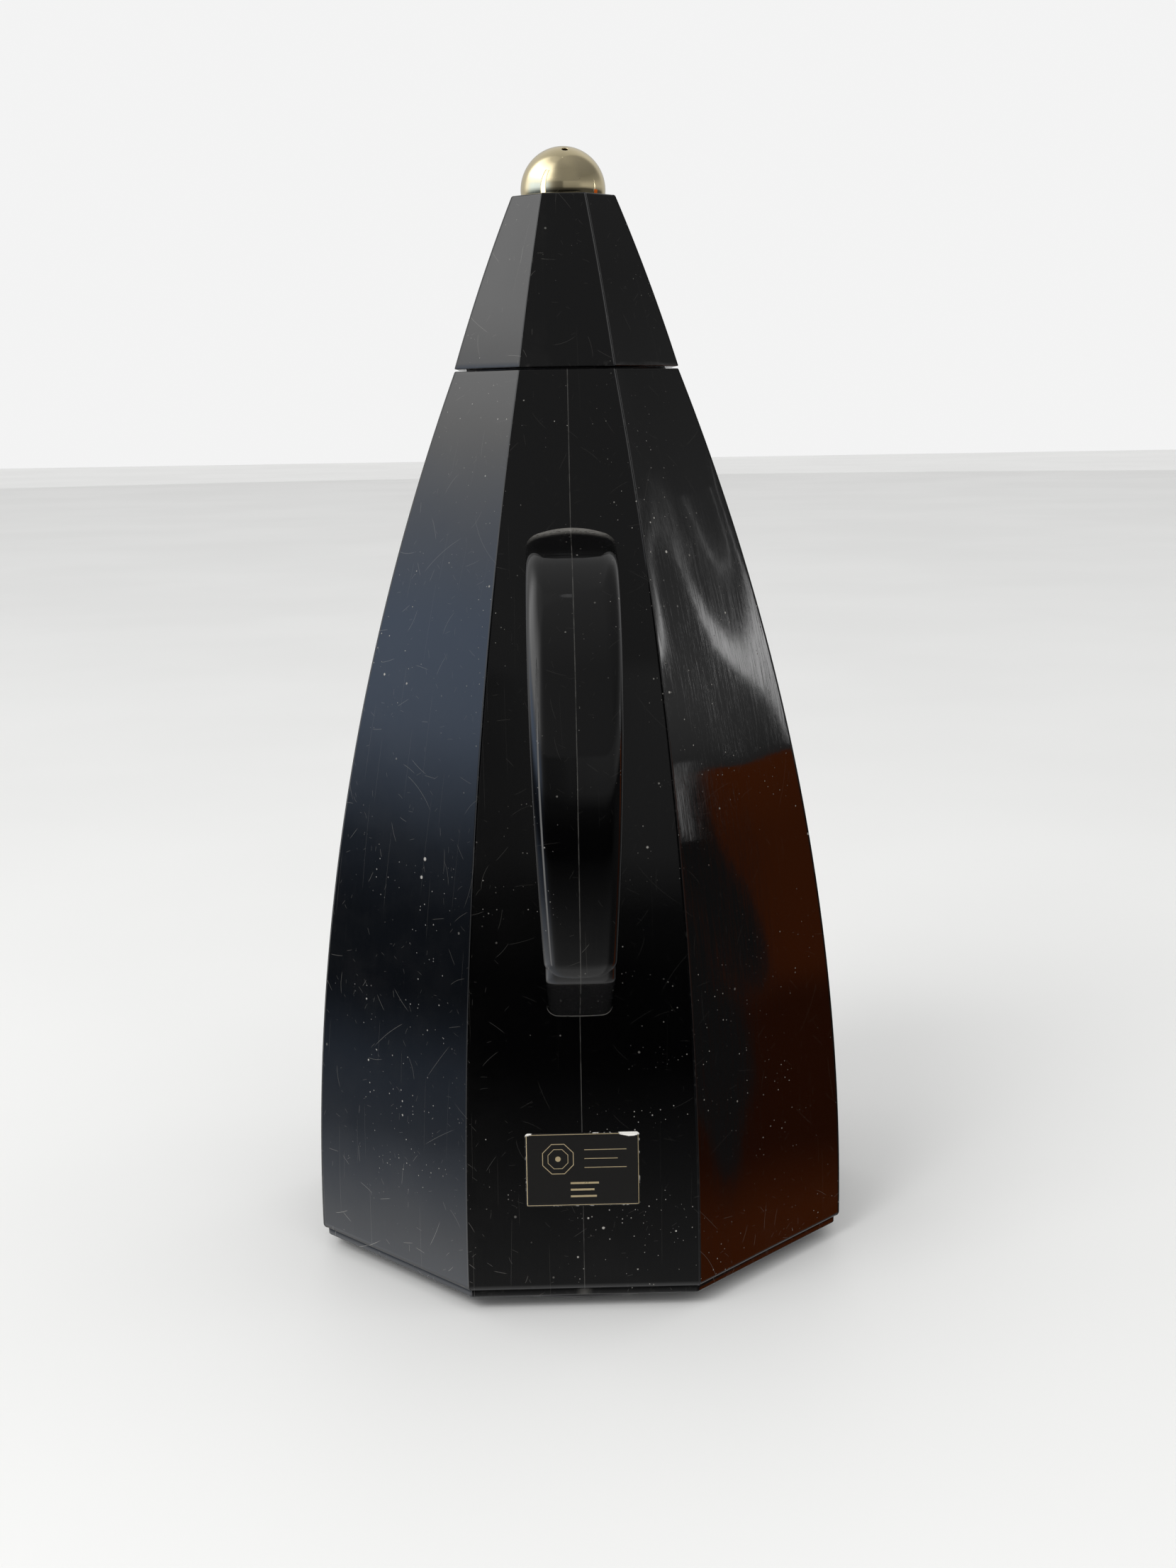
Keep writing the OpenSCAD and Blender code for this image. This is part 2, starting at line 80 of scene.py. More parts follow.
# ---------------------------------------------------------------- mesh tools
def grid_mesh(name, rows, uvs=None, fields=None, closed=True, looped=False):
    """A mesh from rows of points. closed joins a row's ends, looped joins last row to first."""
    rows = np.asarray(rows, float)
    n, m = rows.shape[:2]
    faces, face_uvs = [], []
    last_row = n if looped else n - 1
    last_col = m if closed else m - 1
    for i in range(last_row):
        i2 = (i + 1) % n
        for j in range(last_col):
            j2 = (j + 1) % m
            faces.append((i * m + j, i * m + j2, i2 * m + j2, i2 * m + j))
            if uvs is not None:
                left, right = uvs[i][j]
                left2, right2 = uvs[i2][j]
                face_uvs.append((left, right, right2, left2))
    mesh = bpy.data.meshes.new(name)
    mesh.from_pydata([tuple(p) for p in rows.reshape(-1, 3)], [], faces)
    if uvs is not None:
        layer = mesh.uv_layers.new(name="surface")
        flat = [c for quad in face_uvs for pair in quad for c in pair]
        layer.data.foreach_set("uv", flat)
    for key, values in (fields or {}).items():
        attribute = mesh.attributes.new(key, "FLOAT", "POINT")
        attribute.data.foreach_set("value", np.asarray(values, np.float32).ravel())
    mesh.polygons.foreach_set("use_smooth", [True] * len(mesh.polygons))
    mesh.update()
    piece = bpy.data.objects.new(name, mesh)
    bpy.context.scene.collection.objects.link(piece)
    return piece


@contextmanager
def reworked(piece):
    """Opens a piece's mesh for changes and writes it back with its normals pointing out."""
    work = bmesh.new()
    work.from_mesh(piece.data)
    yield work
    bmesh.ops.recalc_face_normals(work, faces=work.faces)
    work.to_mesh(piece.data)
    work.free()


def face_outwards(piece):
    """Points the normals of a closed mesh out."""
    with reworked(piece):
        return piece


def lathe(name, outline, steps):
    """Revolves (radius, height) points round Z, closing them on the axis or on themselves."""
    rows, uvs = [], []
    along = 0.0
    for i, (r, z) in enumerate(outline):
        if i:
            along += math.hypot(r - outline[i - 1][0], z - outline[i - 1][1])
        turn = [2 * math.pi * j / steps for j in range(steps)]
        rows.append([(r * math.cos(t), r * math.sin(t), z) for t in turn])
        uvs.append([((t * r, along), ((t + 2 * math.pi / steps) * r, along)) for t in turn])
    piece = grid_mesh(name, rows, uvs, looped=outline[0][0] > 0 and outline[-1][0] > 0)
    with reworked(piece) as work:
        bmesh.ops.remove_doubles(work, verts=work.verts, dist=1e-7)
    return piece


def rounded(points, steps):
    """A closed outline with rounded corners. Each point is (x, y, radius of its corner)."""
    out, count = [], len(points)
    for i in range(count):
        p = Vector(points[i][:2])
        a = (Vector(points[i - 1][:2]) - p)
        b = (Vector(points[(i + 1) % count][:2]) - p)
        r = points[i][2]
        if r <= 0:
            out.append(tuple(p))
            continue
        half = a.angle(b) / 2
        reach = min(r / math.tan(half), 0.45 * a.length, 0.45 * b.length)
        start, end = p + a.normalized() * reach, p + b.normalized() * reach
        for k in range(steps + 1):
            t = k / steps
            out.append(tuple(start * (1 - t) ** 2 + p * 2 * t * (1 - t) + end * t * t))
    return out


# ---------------------------------------------------------------- octagonal shells
def facet_columns(half, ridge):
    """Places across one facet, close together at a mould line in its middle and at its edges."""
    if ridge:
        inner = [v * MM for v in (*RIDGE_STEPS, 2, 4, 6)]
    else:
        inner = [v * half for v in (0, 0.08, 0.16, 0.25, 0.34, 0.42, 0.5)]
    outer = list(np.linspace(inner[-1], half - 0.35 * MM, 6))[1:] + [half]
    right = inner + outer
    return [-v for v in reversed(right[1:])] + right


ARC_STEPS = 4
COLUMNS = 25 + ARC_STEPS - 1  # per facet, its rounded edge included
UV_FACET = 0.1  # each facet's texture starts this far from the last one's


def octagon_ring(half_w, edge_r, z, ridge=False, push=None):
    """Points, texture pairs and edge weights once round a rounded octagon; facet 0 faces -Y."""
    points, pairs, edge = [], [], []
    half = (half_w - edge_r) * HALF_FACET
    places = facet_columns(half, ridge)
    for k in range(8):
        turn = -math.pi / 2 + k * EIGHTH
        e = np.array([math.cos(turn), math.sin(turn)])
        t = np.array([-e[1], e[0]])
        across = []
        for u in places:
            sunk = push(k, u, z, half) if push else 0.0
            points.append((*(e * (half_w - sunk) + t * u), z))
            across.append(u)
            edge.append(0.5 if abs(u) == half else 0.0)
        centre = e * (half_w - edge_r) + t * half
        for i in range(1, ARC_STEPS):
            phi = turn + EIGHTH * i / ARC_STEPS
            points.append((*(centre + edge_r * np.array([math.cos(phi), math.sin(phi)])), z))
            across.append(half + edge_r * EIGHTH * i / ARC_STEPS)
            edge.append(1.0)
        across.append(half + edge_r * EIGHTH)
        for left, right in zip(across, across[1:]):
            pairs.append(((k * UV_FACET + left, z), (k * UV_FACET + right, z)))
    return points, pairs, edge


def circle_ring(like, r, z):
    """A round ring whose points stand at the same angles as another ring's."""
    turns = [math.atan2(p[1], p[0]) for p in like]
    return [(r * math.cos(t), r * math.sin(t), z) for t in turns]


def shell_levels(low_z, high_z, low_r, high_r, levels):
    """(level, inset) pairs up the outside of a shell whose two rims are rounded."""
    out = []
    for i in range(6):
        a = math.pi / 2 * i / 5
        out.append((low_z + low_r * (1 - math.cos(a)), low_r * (1 - math.sin(a))))
    out += [(z, 0.0) for z in levels if low_z + low_r < z < high_z - high_r]
    for i in range(6):
        a = math.pi / 2 * i / 5
        out.append((high_z - high_r * (1 - math.sin(a)), high_r * (1 - math.cos(a))))
    return out


# How strongly each facet's mould shrinkage shows, from the handle's facet round to its left
WAVE_SHARE = (0.3, 0.5, 0.5, 0.45, 0.4, 0.45, 0.5, 0.3)
WAVE_DEPTH = 0.05 * MM
RIDGE_HEIGHT = 0.02 * MM
RIDGE_WIDTH = 0.12 * MM
RIDGE_STEPS = (0, 0.08, 0.16, 0.32)  # mm from the line's middle


def shrink_waves(k, u, z, half):
    """Inward sink of a moulded facet: long shallow waves that die out at its edges."""
    x, y = u / MM, z / MM
    swell = (math.sin(y / 11.5 + 0.9 * k + x / 9.0)
             + 0.8 * math.sin(y / 23.0 - x / 6.5 + 2.1 * k)
             + 0.5 * math.sin(y / 6.1 + x / 4.7 + 1.3 * k))
    fade = 1 - min(1.0, abs(u) / half) ** 6
    return SKIN + WAVE_DEPTH * WAVE_SHARE[k] * fade * (2.3 + swell)


def casing_push(k, u, z, half):
    """Waves, and the fine mould line that runs up the middle of the handle's facet and the spout's."""
    sunk = shrink_waves(k, u, z, half)
    if k in (0, 4):
        sunk -= RIDGE_HEIGHT * math.exp(-(u / RIDGE_WIDTH) ** 2)
    return sunk


def casing_haze(point):
    """0 to 1: how scuffed the plastic is, most on the lower left and where hands and tables rub."""
    x, y, z = (v / MM for v in point)
    low = max(0.0, 1 - (z - 6) / 42)
    left = max(0.0, min(1.0, (-x - 12) / 40)) * (1 if y < 10 else 0.5)
    return min(1.0, 0.75 * low * low * (0.35 + 0.65 * left) + 0.35 * left)


def make_casing():
    """The eight-facet shell, with the pouring hole through the spout's facet."""
    hole_low, hole_high, hole_half = 236 * MM, 241 * MM, 6 * MM
    low, high = casing_low.z, casing_high.z
    levels = sorted({round(v, 6) for v in np.arange(low + 2 * MM, high, 2 * MM)}
                    | {hole_low, hole_high})
    levels = [z for z in levels if not hole_low - 0.4 * MM < z < hole_low
              and not hole_high < z < hole_high + 0.4 * MM]
    outside = shell_levels(low, high, 1.6 * MM, RIM_R, levels)
    inside = [(z, CASING_WALL) for z in [high] + levels[::-1] + [low]]
    rows, pairs, edges, haze = [], [], [], []
    for z, inset in outside + inside:
        outer = inset < CASING_WALL
        ring = octagon_ring(half_width(CASING, z) - inset, CASING_EDGE_R, z, ridge=True,
                            push=casing_push if outer else None)
        rows.append(ring[0])
        pairs.append(ring[1])
        rim = 0.8 if outer and (z < low + 1.6 * MM or z > high - RIM_R) else 0.0
        edges.append([max(e, rim) if outer else 0.0 for e in ring[2]])
        haze.append([casing_haze(p) if outer else 0.0 for p in ring[0]])
    piece = grid_mesh("casing_shell", rows, pairs, {"edge": edges, "haze": haze}, looped=True)

    count = len(rows[0])
    first = 4 * COLUMNS
    columns = facet_columns(0.02, True)
    cols = [first + j for j, u in enumerate(columns) if abs(u) <= hole_half + 1e-9]
    out_rows = [i for i, (z, _) in enumerate(outside) if hole_low <= z <= hole_high]
    in_rows = [len(outside) + i for i, (z, _) in enumerate(inside)
               if hole_low <= z <= hole_high][::-1]
    with reworked(piece) as work:
        work.verts.ensure_lookup_table()
        at = lambda i, j: work.verts[i * count + j]
        gone = []
        for wall in (out_rows, in_rows):
            held = {at(i, j) for i in wall for j in cols}
            gone += [f for f in work.faces if all(v in held for v in f.verts)]
        bmesh.ops.delete(work, geom=gone, context="FACES_ONLY")
        ring = ([(i, cols[0]) for i in range(len(out_rows))]
                + [(len(out_rows) - 1, j) for j in cols[1:]]
                + [(i, cols[-1]) for i in range(len(out_rows) - 2, -1, -1)]
                + [(0, j) for j in cols[-2:0:-1]])
        for (i, j), (i2, j2) in zip(ring, ring[1:] + ring[:1]):
            work.faces.new((at(out_rows[i], j), at(out_rows[i2], j2),
                            at(in_rows[i2], j2), at(in_rows[i], j)))
        loose = [v for v in work.verts if not v.link_faces]
        bmesh.ops.delete(work, geom=loose, context="VERTS")
        for f in work.faces:
            f.smooth = True
    return piece


def make_lid():
    """The pointed shell, open below, with the round opening for the ball in its flat top."""
    low, high = lid_low.z, lid_high.z
    bore = ball_high.x + 0.25 * MM
    roof = high - 5.3 * MM
    levels = list(np.arange(low + 1.5 * MM, high, 1.5 * MM))
    rows, pairs, edges, haze = [], [], [], []

    def push(k, u, z, half):
        return 0.5 * shrink_waves(k, u, z, half) + 0.5 * SKIN

    def add(ring, points, edge):
        rows.append(points)
        pairs.append(ring[1])
        edges.append(edge)
        haze.append([0.25 * casing_haze(p) + (0.35 if p[0] < -5 * MM else 0.05) for p in points])

    for z, inset in shell_levels(low, high, RIM_R, 0.5 * MM, levels):
        ring = octagon_ring(half_width(LID, z) - inset, LID_EDGE_R, z, push=push)
        rim = 0.8 if z < low + 0.5 * MM or z > high - 0.5 * MM else 0.0
        add(ring, ring[0], [max(e, rim) for e in ring[2]])
    for r, z in ((bore + 0.45 * MM, high), (bore + 0.2 * MM, high - 0.06 * MM),
                 (bore + 0.05 * MM, high - 0.2 * MM), (bore, high - 0.45 * MM), (bore, roof)):
        add(ring, circle_ring(ring[0], r, z), [0.3] * len(ring[0]))
    for z in [roof - 0.1 * MM] + [v for v in levels[::-1] if v < roof - 1 * MM] + [low]:
        ring = octagon_ring(half_width(LID, z) - LID_WALL, LID_EDGE_R, z)
        add(ring, ring[0], [0.0] * len(ring[0]))
    return face_outwards(grid_mesh("lid_cover", rows, pairs, {"edge": edges, "haze": haze},
                                   looped=True))


def make_bottom_ring():
    """The thin octagonal plate under the casing's edge, round inside, with its spigot."""
    low, high = ring_low.z, casing_low.z
    opening = 60 * MM
    half = ring_high.x
    rows, pairs, edges = [], [], []
    for z, inset in shell_levels(low, high, 0.5 * MM, 0.25 * MM, []):
        ring = octagon_ring(half - inset - SKIN, 1.2 * MM, z)
        rows.append(ring[0])
        pairs.append(ring[1])
        edges.append([max(e, 0.5) for e in ring[2]])
    inner = half_width(CASING, high) - CASING_WALL - 0.15 * MM
    for z in (high, ring_high.z):
        ring = octagon_ring(inner, 1.2 * MM, z)
        rows.append(ring[0])
        pairs.append(ring[1])
        edges.append([0.0] * len(ring[0]))
    for z in (ring_high.z, low):
        rows.append(circle_ring(ring[0], opening, z))
        pairs.append(ring[1])
        edges.append([0.0] * len(ring[0]))
    piece = grid_mesh("base_plate_ring", rows, pairs, {"edge": edges}, looped=True)
    for polygon in piece.data.polygons:
        polygon.use_smooth = polygon.area < 4 * MM * MM
    return face_outwards(piece)


# ---------------------------------------------------------------- bow handle
# The bow's side view, as in the CAD source: (outwards, up), angles of the outward normal
TOP_ROOT = Vector((44.4, 204.5)) * MM
LOW_ROOT = Vector((70.1, 80.4)) * MM
LIMB_RUN = 17.8 * MM
LIMB_ANGLE = 78
GRIP_THICK = 12 * MM
GRIP_END = grip_low.z
# Outer face of the grip: radius in mm, first and last angle
GRIP_ARCS = ((25, 78, 57), (75, 57, 8), (127, 8, 1), (231, 1, -5), (34, -5, -14))
FINGER_TURN = -2.8  # from here the finger side bends in to the lower limb
FINGER_BEND = 14 * MM
LOW_ANGLE = -60.3
HEEL_BEND = 3 * MM
HEEL_STEP = 0.8 * MM
HEEL_THICK = 12.2 * MM
HEEL_HALF_W = 8.6 * MM
GRIP_HALF_W = 11.8 * MM
GRIP_WIDE_Z = 195 * MM
GRIP_SIDE_R = 1500 * MM
BOW_EDGE_R = 4 * MM
DEEPER = 0.85  # depth of the bow's rounded edges as a share of their width


def heading(angle):
    a = math.radians(angle)
    return Vector((math.cos(a), math.sin(a)))


def downwards(angle):
    """The way down along a face whose outward normal has that angle."""
    a = math.radians(angle)
    return Vector((math.sin(a), -math.cos(a)))


def arc_path(start, radius, first, last, step=1.6 * MM):
    """(point, angle) along an arc that leaves start; the start itself is left out."""
    centre = start - radius * heading(first)
    count = max(3, math.ceil(abs(math.radians(last - first)) * radius / step))
    angles = [first + (last - first) * i / count for i in range(1, count + 1)]
    return [(centre + radius * heading(a), a) for a in angles]


def outer_path(inset):
    """(point, angle) along the outer face, set in by inset, from the limb to the grip's end."""
    limb_end = TOP_ROOT + LIMB_RUN * downwards(LIMB_ANGLE) - inset * heading(LIMB_ANGLE)
    path = [(limb_end - LIMB_RUN * (i / 12) * downwards(LIMB_ANGLE), LIMB_ANGLE)
            for i in range(12, -1, -1)]
    for radius, first, last in GRIP_ARCS:
        path += arc_path(path[-1][0], radius * MM - inset, first, last)
    return path


def even_points(points, count):
    """Points at even steps of length along a line of points."""
    lengths = [0.0]
    for p, q in zip(points, points[1:]):
        lengths.append(lengths[-1] + (q - p).length)
    spots = np.linspace(0, lengths[-1], count)
    return [Vector((float(np.interp(v, lengths, [p.x for p in points])),
                    float(np.interp(v, lengths, [p.y for p in points])))) for v in spots]


def bow_half_width(z):
    """Half width of the grip at level z; its sides curve in towards the low end."""
    drop = min(0.0, z - GRIP_WIDE_Z)
    return GRIP_HALF_W - GRIP_SIDE_R + math.sqrt(GRIP_SIDE_R ** 2 - drop * drop)


def bow_section(half_w, thick, outer_r, inner_r, crown, skin, ridge):
    """Section points (across, inwards) from the outer face's middle all round, with edge weights."""
    w = half_w - skin
    r = min(outer_r, w)
    flat = w - r
    dip = lambda x: crown * (x / w) ** 2
    line = [v * MM for v in RIDGE_STEPS]
    across = line + [line[-1] + (flat - line[-1]) * v for v in (0.2, 0.4, 0.6, 0.8, 0.93, 1)]
    half = []
    for x in across:
        half.append((x, skin + dip(x) - ridge * math.exp(-(x / RIDGE_WIDTH) ** 2), 0.0))
    slope = math.atan(2 * crown * flat / w ** 2)
    for i in range(1, 8):
        a = slope + (math.pi / 2 - slope) * i / 7
        along = (math.sin(a) - math.sin(slope)) / (1 - math.sin(slope))
        down = (math.cos(slope) - math.cos(a)) / math.cos(slope)
        half.append((flat + r * along, skin + dip(flat) + DEEPER * r * down, 0.0))
    deep = thick - skin
    start = skin + dip(flat) + DEEPER * r
    for v in (0.33, 0.66):
        half.append((w, start + (deep - inner_r - start) * v, 0.0))
    for i in range(7):
        a = math.pi / 2 * i / 6
        half.append((w - inner_r * (1 - math.cos(a)), deep - inner_r * (1 - math.sin(a)), 0.0))
    for v in (0.6, 0.3):
        half.append(((w - inner_r) * v, deep, 0.0))
    return half + [(0, deep, 0.0)] + [(-x, n, e) for x, n, e in reversed(half[1:])]


def into_casing(point, direction, depth):
    """Slides a point of the bow along its limb until it lies depth inside the casing's face."""
    spot = Vector(point)
    for _ in range(12):
        face = half_width(CASING, spot.y)
        gap = spot.x - (face - depth)
        lean = (half_width(CASING, spot.y + direction.y * MM) - face) / MM
        spot = spot - direction * gap / (direction.x - lean)
    return spot


def swept_bow(name, stations, slide_top=False, slide_low=False):
    """One closed mesh from sections. A station is (outer point, inner point, section, rise of x)."""
    rows, uvs, edges = [], [], []
    along = 0.0
    for i, (outer, inner, section, rise) in enumerate(stations):
        if i:
            along += (outer - stations[i - 1][0]).length
        inwards = (inner - outer).normalized()
        row, across, run = [], [], 0.0
        for j, (x, n, _) in enumerate(section):
            spot = outer + inwards * n
            if i == 0 and slide_top:
                spot = into_casing(spot, downwards(LIMB_ANGLE), 1.5 * MM)
            if i == len(stations) - 1 and slide_low:
                spot = into_casing(spot, downwards(LOW_ANGLE), 1.5 * MM)
            row.append((x, -spot.x, spot.y + (rise(x) if rise else 0.0)))
            if j:
                run += math.hypot(x - section[j - 1][0], n - section[j - 1][1])
            across.append(run)
        first, last = section[0], section[-1]
        across.append(run + math.hypot(last[0] - first[0], last[1] - first[1]))
        rows.append(row)
        uvs.append([((a, along), (b, along)) for a, b in zip(across, across[1:])])
        edges.append([e for _, _, e in section])
    piece = grid_mesh(name, rows, uvs, {"edge": edges})
    with reworked(piece) as work:
        rims = [e for e in work.edges if e.is_boundary]
        for caps in (False, True):
            rim = [e for e in rims if (e.verts[0].index >= len(rows[0])) == caps]
            bmesh.ops.contextual_create(work, geom=rim)
    return piece


def bow_crown(point):
    """The outer face is nearly flat along the bow and arches where it meets the casing."""
    rise = max(0.0, 1 - (point - TOP_ROOT).length / (17 * MM)) if point.y > 180 * MM else 0.0
    return 0.35 * MM + 2.0 * MM * rise * rise * (3 - 2 * rise)


END_RUN = 4.2 * MM  # length over which the grip's end is rounded
END_CUT = 1.1 * MM
END_DROP = 1.1 * MM
END_SAG = 1.2 * MM


def make_grip():
    """The grip, down to its own rounded end, which stands a little proud of the heel."""
    path = outer_path(0.0)
    tail = [p for p, a in path if a <= FINGER_TURN]
    bow = [(p, a) for p, a in path if a > FINGER_TURN]
    inner = [bow[-1][0] - GRIP_THICK * heading(bow[-1][1])]
    inner += [p for p, _ in arc_path(inner[0], FINGER_BEND, FINGER_TURN, LOW_ANGLE)]
    low_run = (inner[-1].y - GRIP_END) / -downwards(LOW_ANGLE).y
    inner.append(inner[-1] + low_run * downwards(LOW_ANGLE))
    pairs = [(p, p - GRIP_THICK * heading(a)) for p, a in bow]
    steps = 26
    outer_tail = even_points([bow[-1][0]] + tail, steps)
    total = sum((q - p).length for p, q in zip(outer_tail, outer_tail[1:]))
    stations = []
    for i, (p, q) in enumerate(pairs + list(zip(outer_tail, even_points(inner, steps)))[1:]):
        done = max(0, i - len(pairs) + 1) / (steps - 1)
        left = max(0.0, total * (1 - done))
        near = max(0.0, 1 - left / END_RUN)
        bend = 1 - math.sqrt(max(0.0, 1 - near * near))
        section = bow_section(bow_half_width(p.y) - END_CUT * bend, (q - p).length, BOW_EDGE_R,
                              4 * MM, bow_crown(p), SKIN, RIDGE_HEIGHT)
        section = [(x, n + END_DROP * bend * max(0.0, 1 - n / (6 * MM)), near ** 3)
                   for x, n, e in section]
        rise = None
        if near > 0:
            w, lift = bow_half_width(p.y), END_SAG * near
            rise = lambda x, w=w, lift=lift: lift * ((x / w) ** 2 + max(0.0, abs(x / w) - 0.7) * 2)
        stations.append((p, q, section, rise))
    return swept_bow("grip_moulding", stations, slide_top=True)


def make_heel():
    """The short block under the grip's end, running a little way up inside the grip."""
    path = outer_path(HEEL_STEP)
    outer = [p for p, a in path if a <= -7]
    outer += [p for p, _ in arc_path(outer[-1], HEEL_BEND, GRIP_ARCS[-1][2], LOW_ANGLE, 0.4 * MM)]
    outer.append(LOW_ROOT)
    inner_end = LOW_ROOT - HEEL_THICK * heading(LOW_ANGLE)
    run = (GRIP_END + 1.4 * MM - inner_end.y) / -downwards(LOW_ANGLE).y
    inner = [inner_end - run * downwards(LOW_ANGLE), inner_end]
    stations = []
    for p, q in zip(even_points(outer, 70), even_points(inner, 70)):
        section = bow_section(HEEL_HALF_W, (q - p).length, 3 * MM, 4 * MM, 0.3 * MM,
                              0.06 * MM, RIDGE_HEIGHT)
        stations.append((p, q, section, None))
    return swept_bow("heel_moulding", stations, slide_low=True)


# ---------------------------------------------------------------- ball, badge, spout, base
def make_ball():
    """The gilt ball: a tilted lathe with the vent hole at its pole, cut flat inside the lid."""
    r = ball_high.x - 0.05 * MM
    hole_r, hole_depth = 0.9 * MM, 3 * MM
    lip = 0.12 * MM
    first = math.asin((hole_r + lip) / r)
    outline = [(0, r - hole_depth), (0.55 * hole_r, r - hole_depth),
               (hole_r, r - hole_depth + 0.3 * MM), (hole_r, r - 1.2 * MM), (hole_r, r - lip * 2)]
    for i in range(1, 4):
        a = math.pi / 2 * i / 4
        outline.append((hole_r + lip * (1 - math.cos(a)),
                        math.sqrt(r * r - (hole_r + lip) ** 2) - lip * (1 - math.sin(a))))
    steps = 72
    for i in range(steps + 1):
        a = first + (math.pi - first) * i / steps
        outline.append((r * math.sin(a) if i < steps else 0.0, r * math.cos(a)))
    piece = lathe("gilt_ball", outline, 160)
    centre_z = ball_high.z - ball_high.x
    lean = Euler((math.radians(28), math.radians(3.6), 0)).to_matrix()
    for vertex in piece.data.vertices:
        vertex.co = lean @ vertex.co + Vector((0, 0, centre_z))
    with reworked(piece) as work:
        cut = bmesh.ops.bisect_plane(work, geom=work.verts[:] + work.edges[:] + work.faces[:],
                                     plane_co=(0, 0, ball_low.z + 0.02 * MM), plane_no=(0, 0, -1),
                                     clear_outer=True)
        rim = [e for e in cut["geom_cut"] if isinstance(e, bmesh.types.BMEdge)]
        bmesh.ops.contextual_create(work, geom=rim)
        for face in work.faces:
            face.smooth = len(face.verts) < 12
    return piece


def make_badge():
    """The printed foil: a thin plate that follows the facet's curve, its corners slightly round."""
    half_w, half_h = label_high.x - 0.05 * MM, (label_high.z - label_low.z) / 2 - 0.05 * MM
    mid_z = (label_high.z + label_low.z) / 2
    film = 0.2 * MM
    corner = 0.8 * MM
    columns, levels = 45, 31

    def spot(u, v, lift):
        """Maps the unit square on to the plate, pulling its corners in."""
        x, y = u * half_w, v * half_h
        over_x, over_y = abs(x) - (half_w - corner), abs(y) - (half_h - corner)
        if over_x > 0 and over_y > 0:
            reach = max(over_x, over_y)
            share = reach / math.hypot(over_x, over_y)
            x = math.copysign(half_w - corner + over_x * share, x)
            y = math.copysign(half_h - corner + over_y * share, y)
        z = mid_z + y
        return (x, -(half_width(CASING, z) + lift), z), (x, y)

    points, faces, coords = [], [], []
    for layer, lift in enumerate((film, -0.1 * MM)):
        for v in np.linspace(-1, 1, levels):
            for u in np.linspace(-1, 1, columns):
                edge_drop = 0.08 * MM if layer == 0 and max(abs(u), abs(v)) == 1 else 0.0
                p, uv = spot(u, v, lift - edge_drop)
                points.append(p)
                coords.append(uv)
    at = lambda layer, i, j: layer * levels * columns + i * columns + j
    for i in range(levels - 1):
        for j in range(columns - 1):
            faces.append((at(0, i, j), at(0, i, j + 1), at(0, i + 1, j + 1), at(0, i + 1, j)))
            faces.append((at(1, i, j), at(1, i + 1, j), at(1, i + 1, j + 1), at(1, i, j + 1)))
    rim = ([(0, j) for j in range(columns)] + [(i, columns - 1) for i in range(1, levels)]
           + [(levels - 1, j) for j in range(columns - 2, -1, -1)]
           + [(i, 0) for i in range(levels - 2, 0, -1)])
    for (i, j), (i2, j2) in zip(rim, rim[1:] + rim[:1]):
        faces.append((at(0, i, j), at(1, i, j), at(1, i2, j2), at(0, i2, j2)))
    mesh = bpy.data.meshes.new("badge_foil")
    mesh.from_pydata(points, [], faces)
    layer = mesh.uv_layers.new(name="surface")
    for loop in mesh.loops:
        layer.data[loop.index].uv = coords[loop.vertex_index]
    for polygon in mesh.polygons:
        polygon.use_smooth = True
    piece = bpy.data.objects.new("badge_foil", mesh)
    bpy.context.scene.collection.objects.link(piece)
    return face_outwards(piece)


SPOUT_ROOT_HALF = 12 * MM
SPOUT_TIP_HALF = 4.5 * MM
SPOUT_WALL = 2.2 * MM
SPOUT_LOW_Z = 224 * MM
SPOUT_TOP_Z = 243.6 * MM
SPOUT_TIP_Y = 54 * MM
TROUGH_Z = 236 * MM


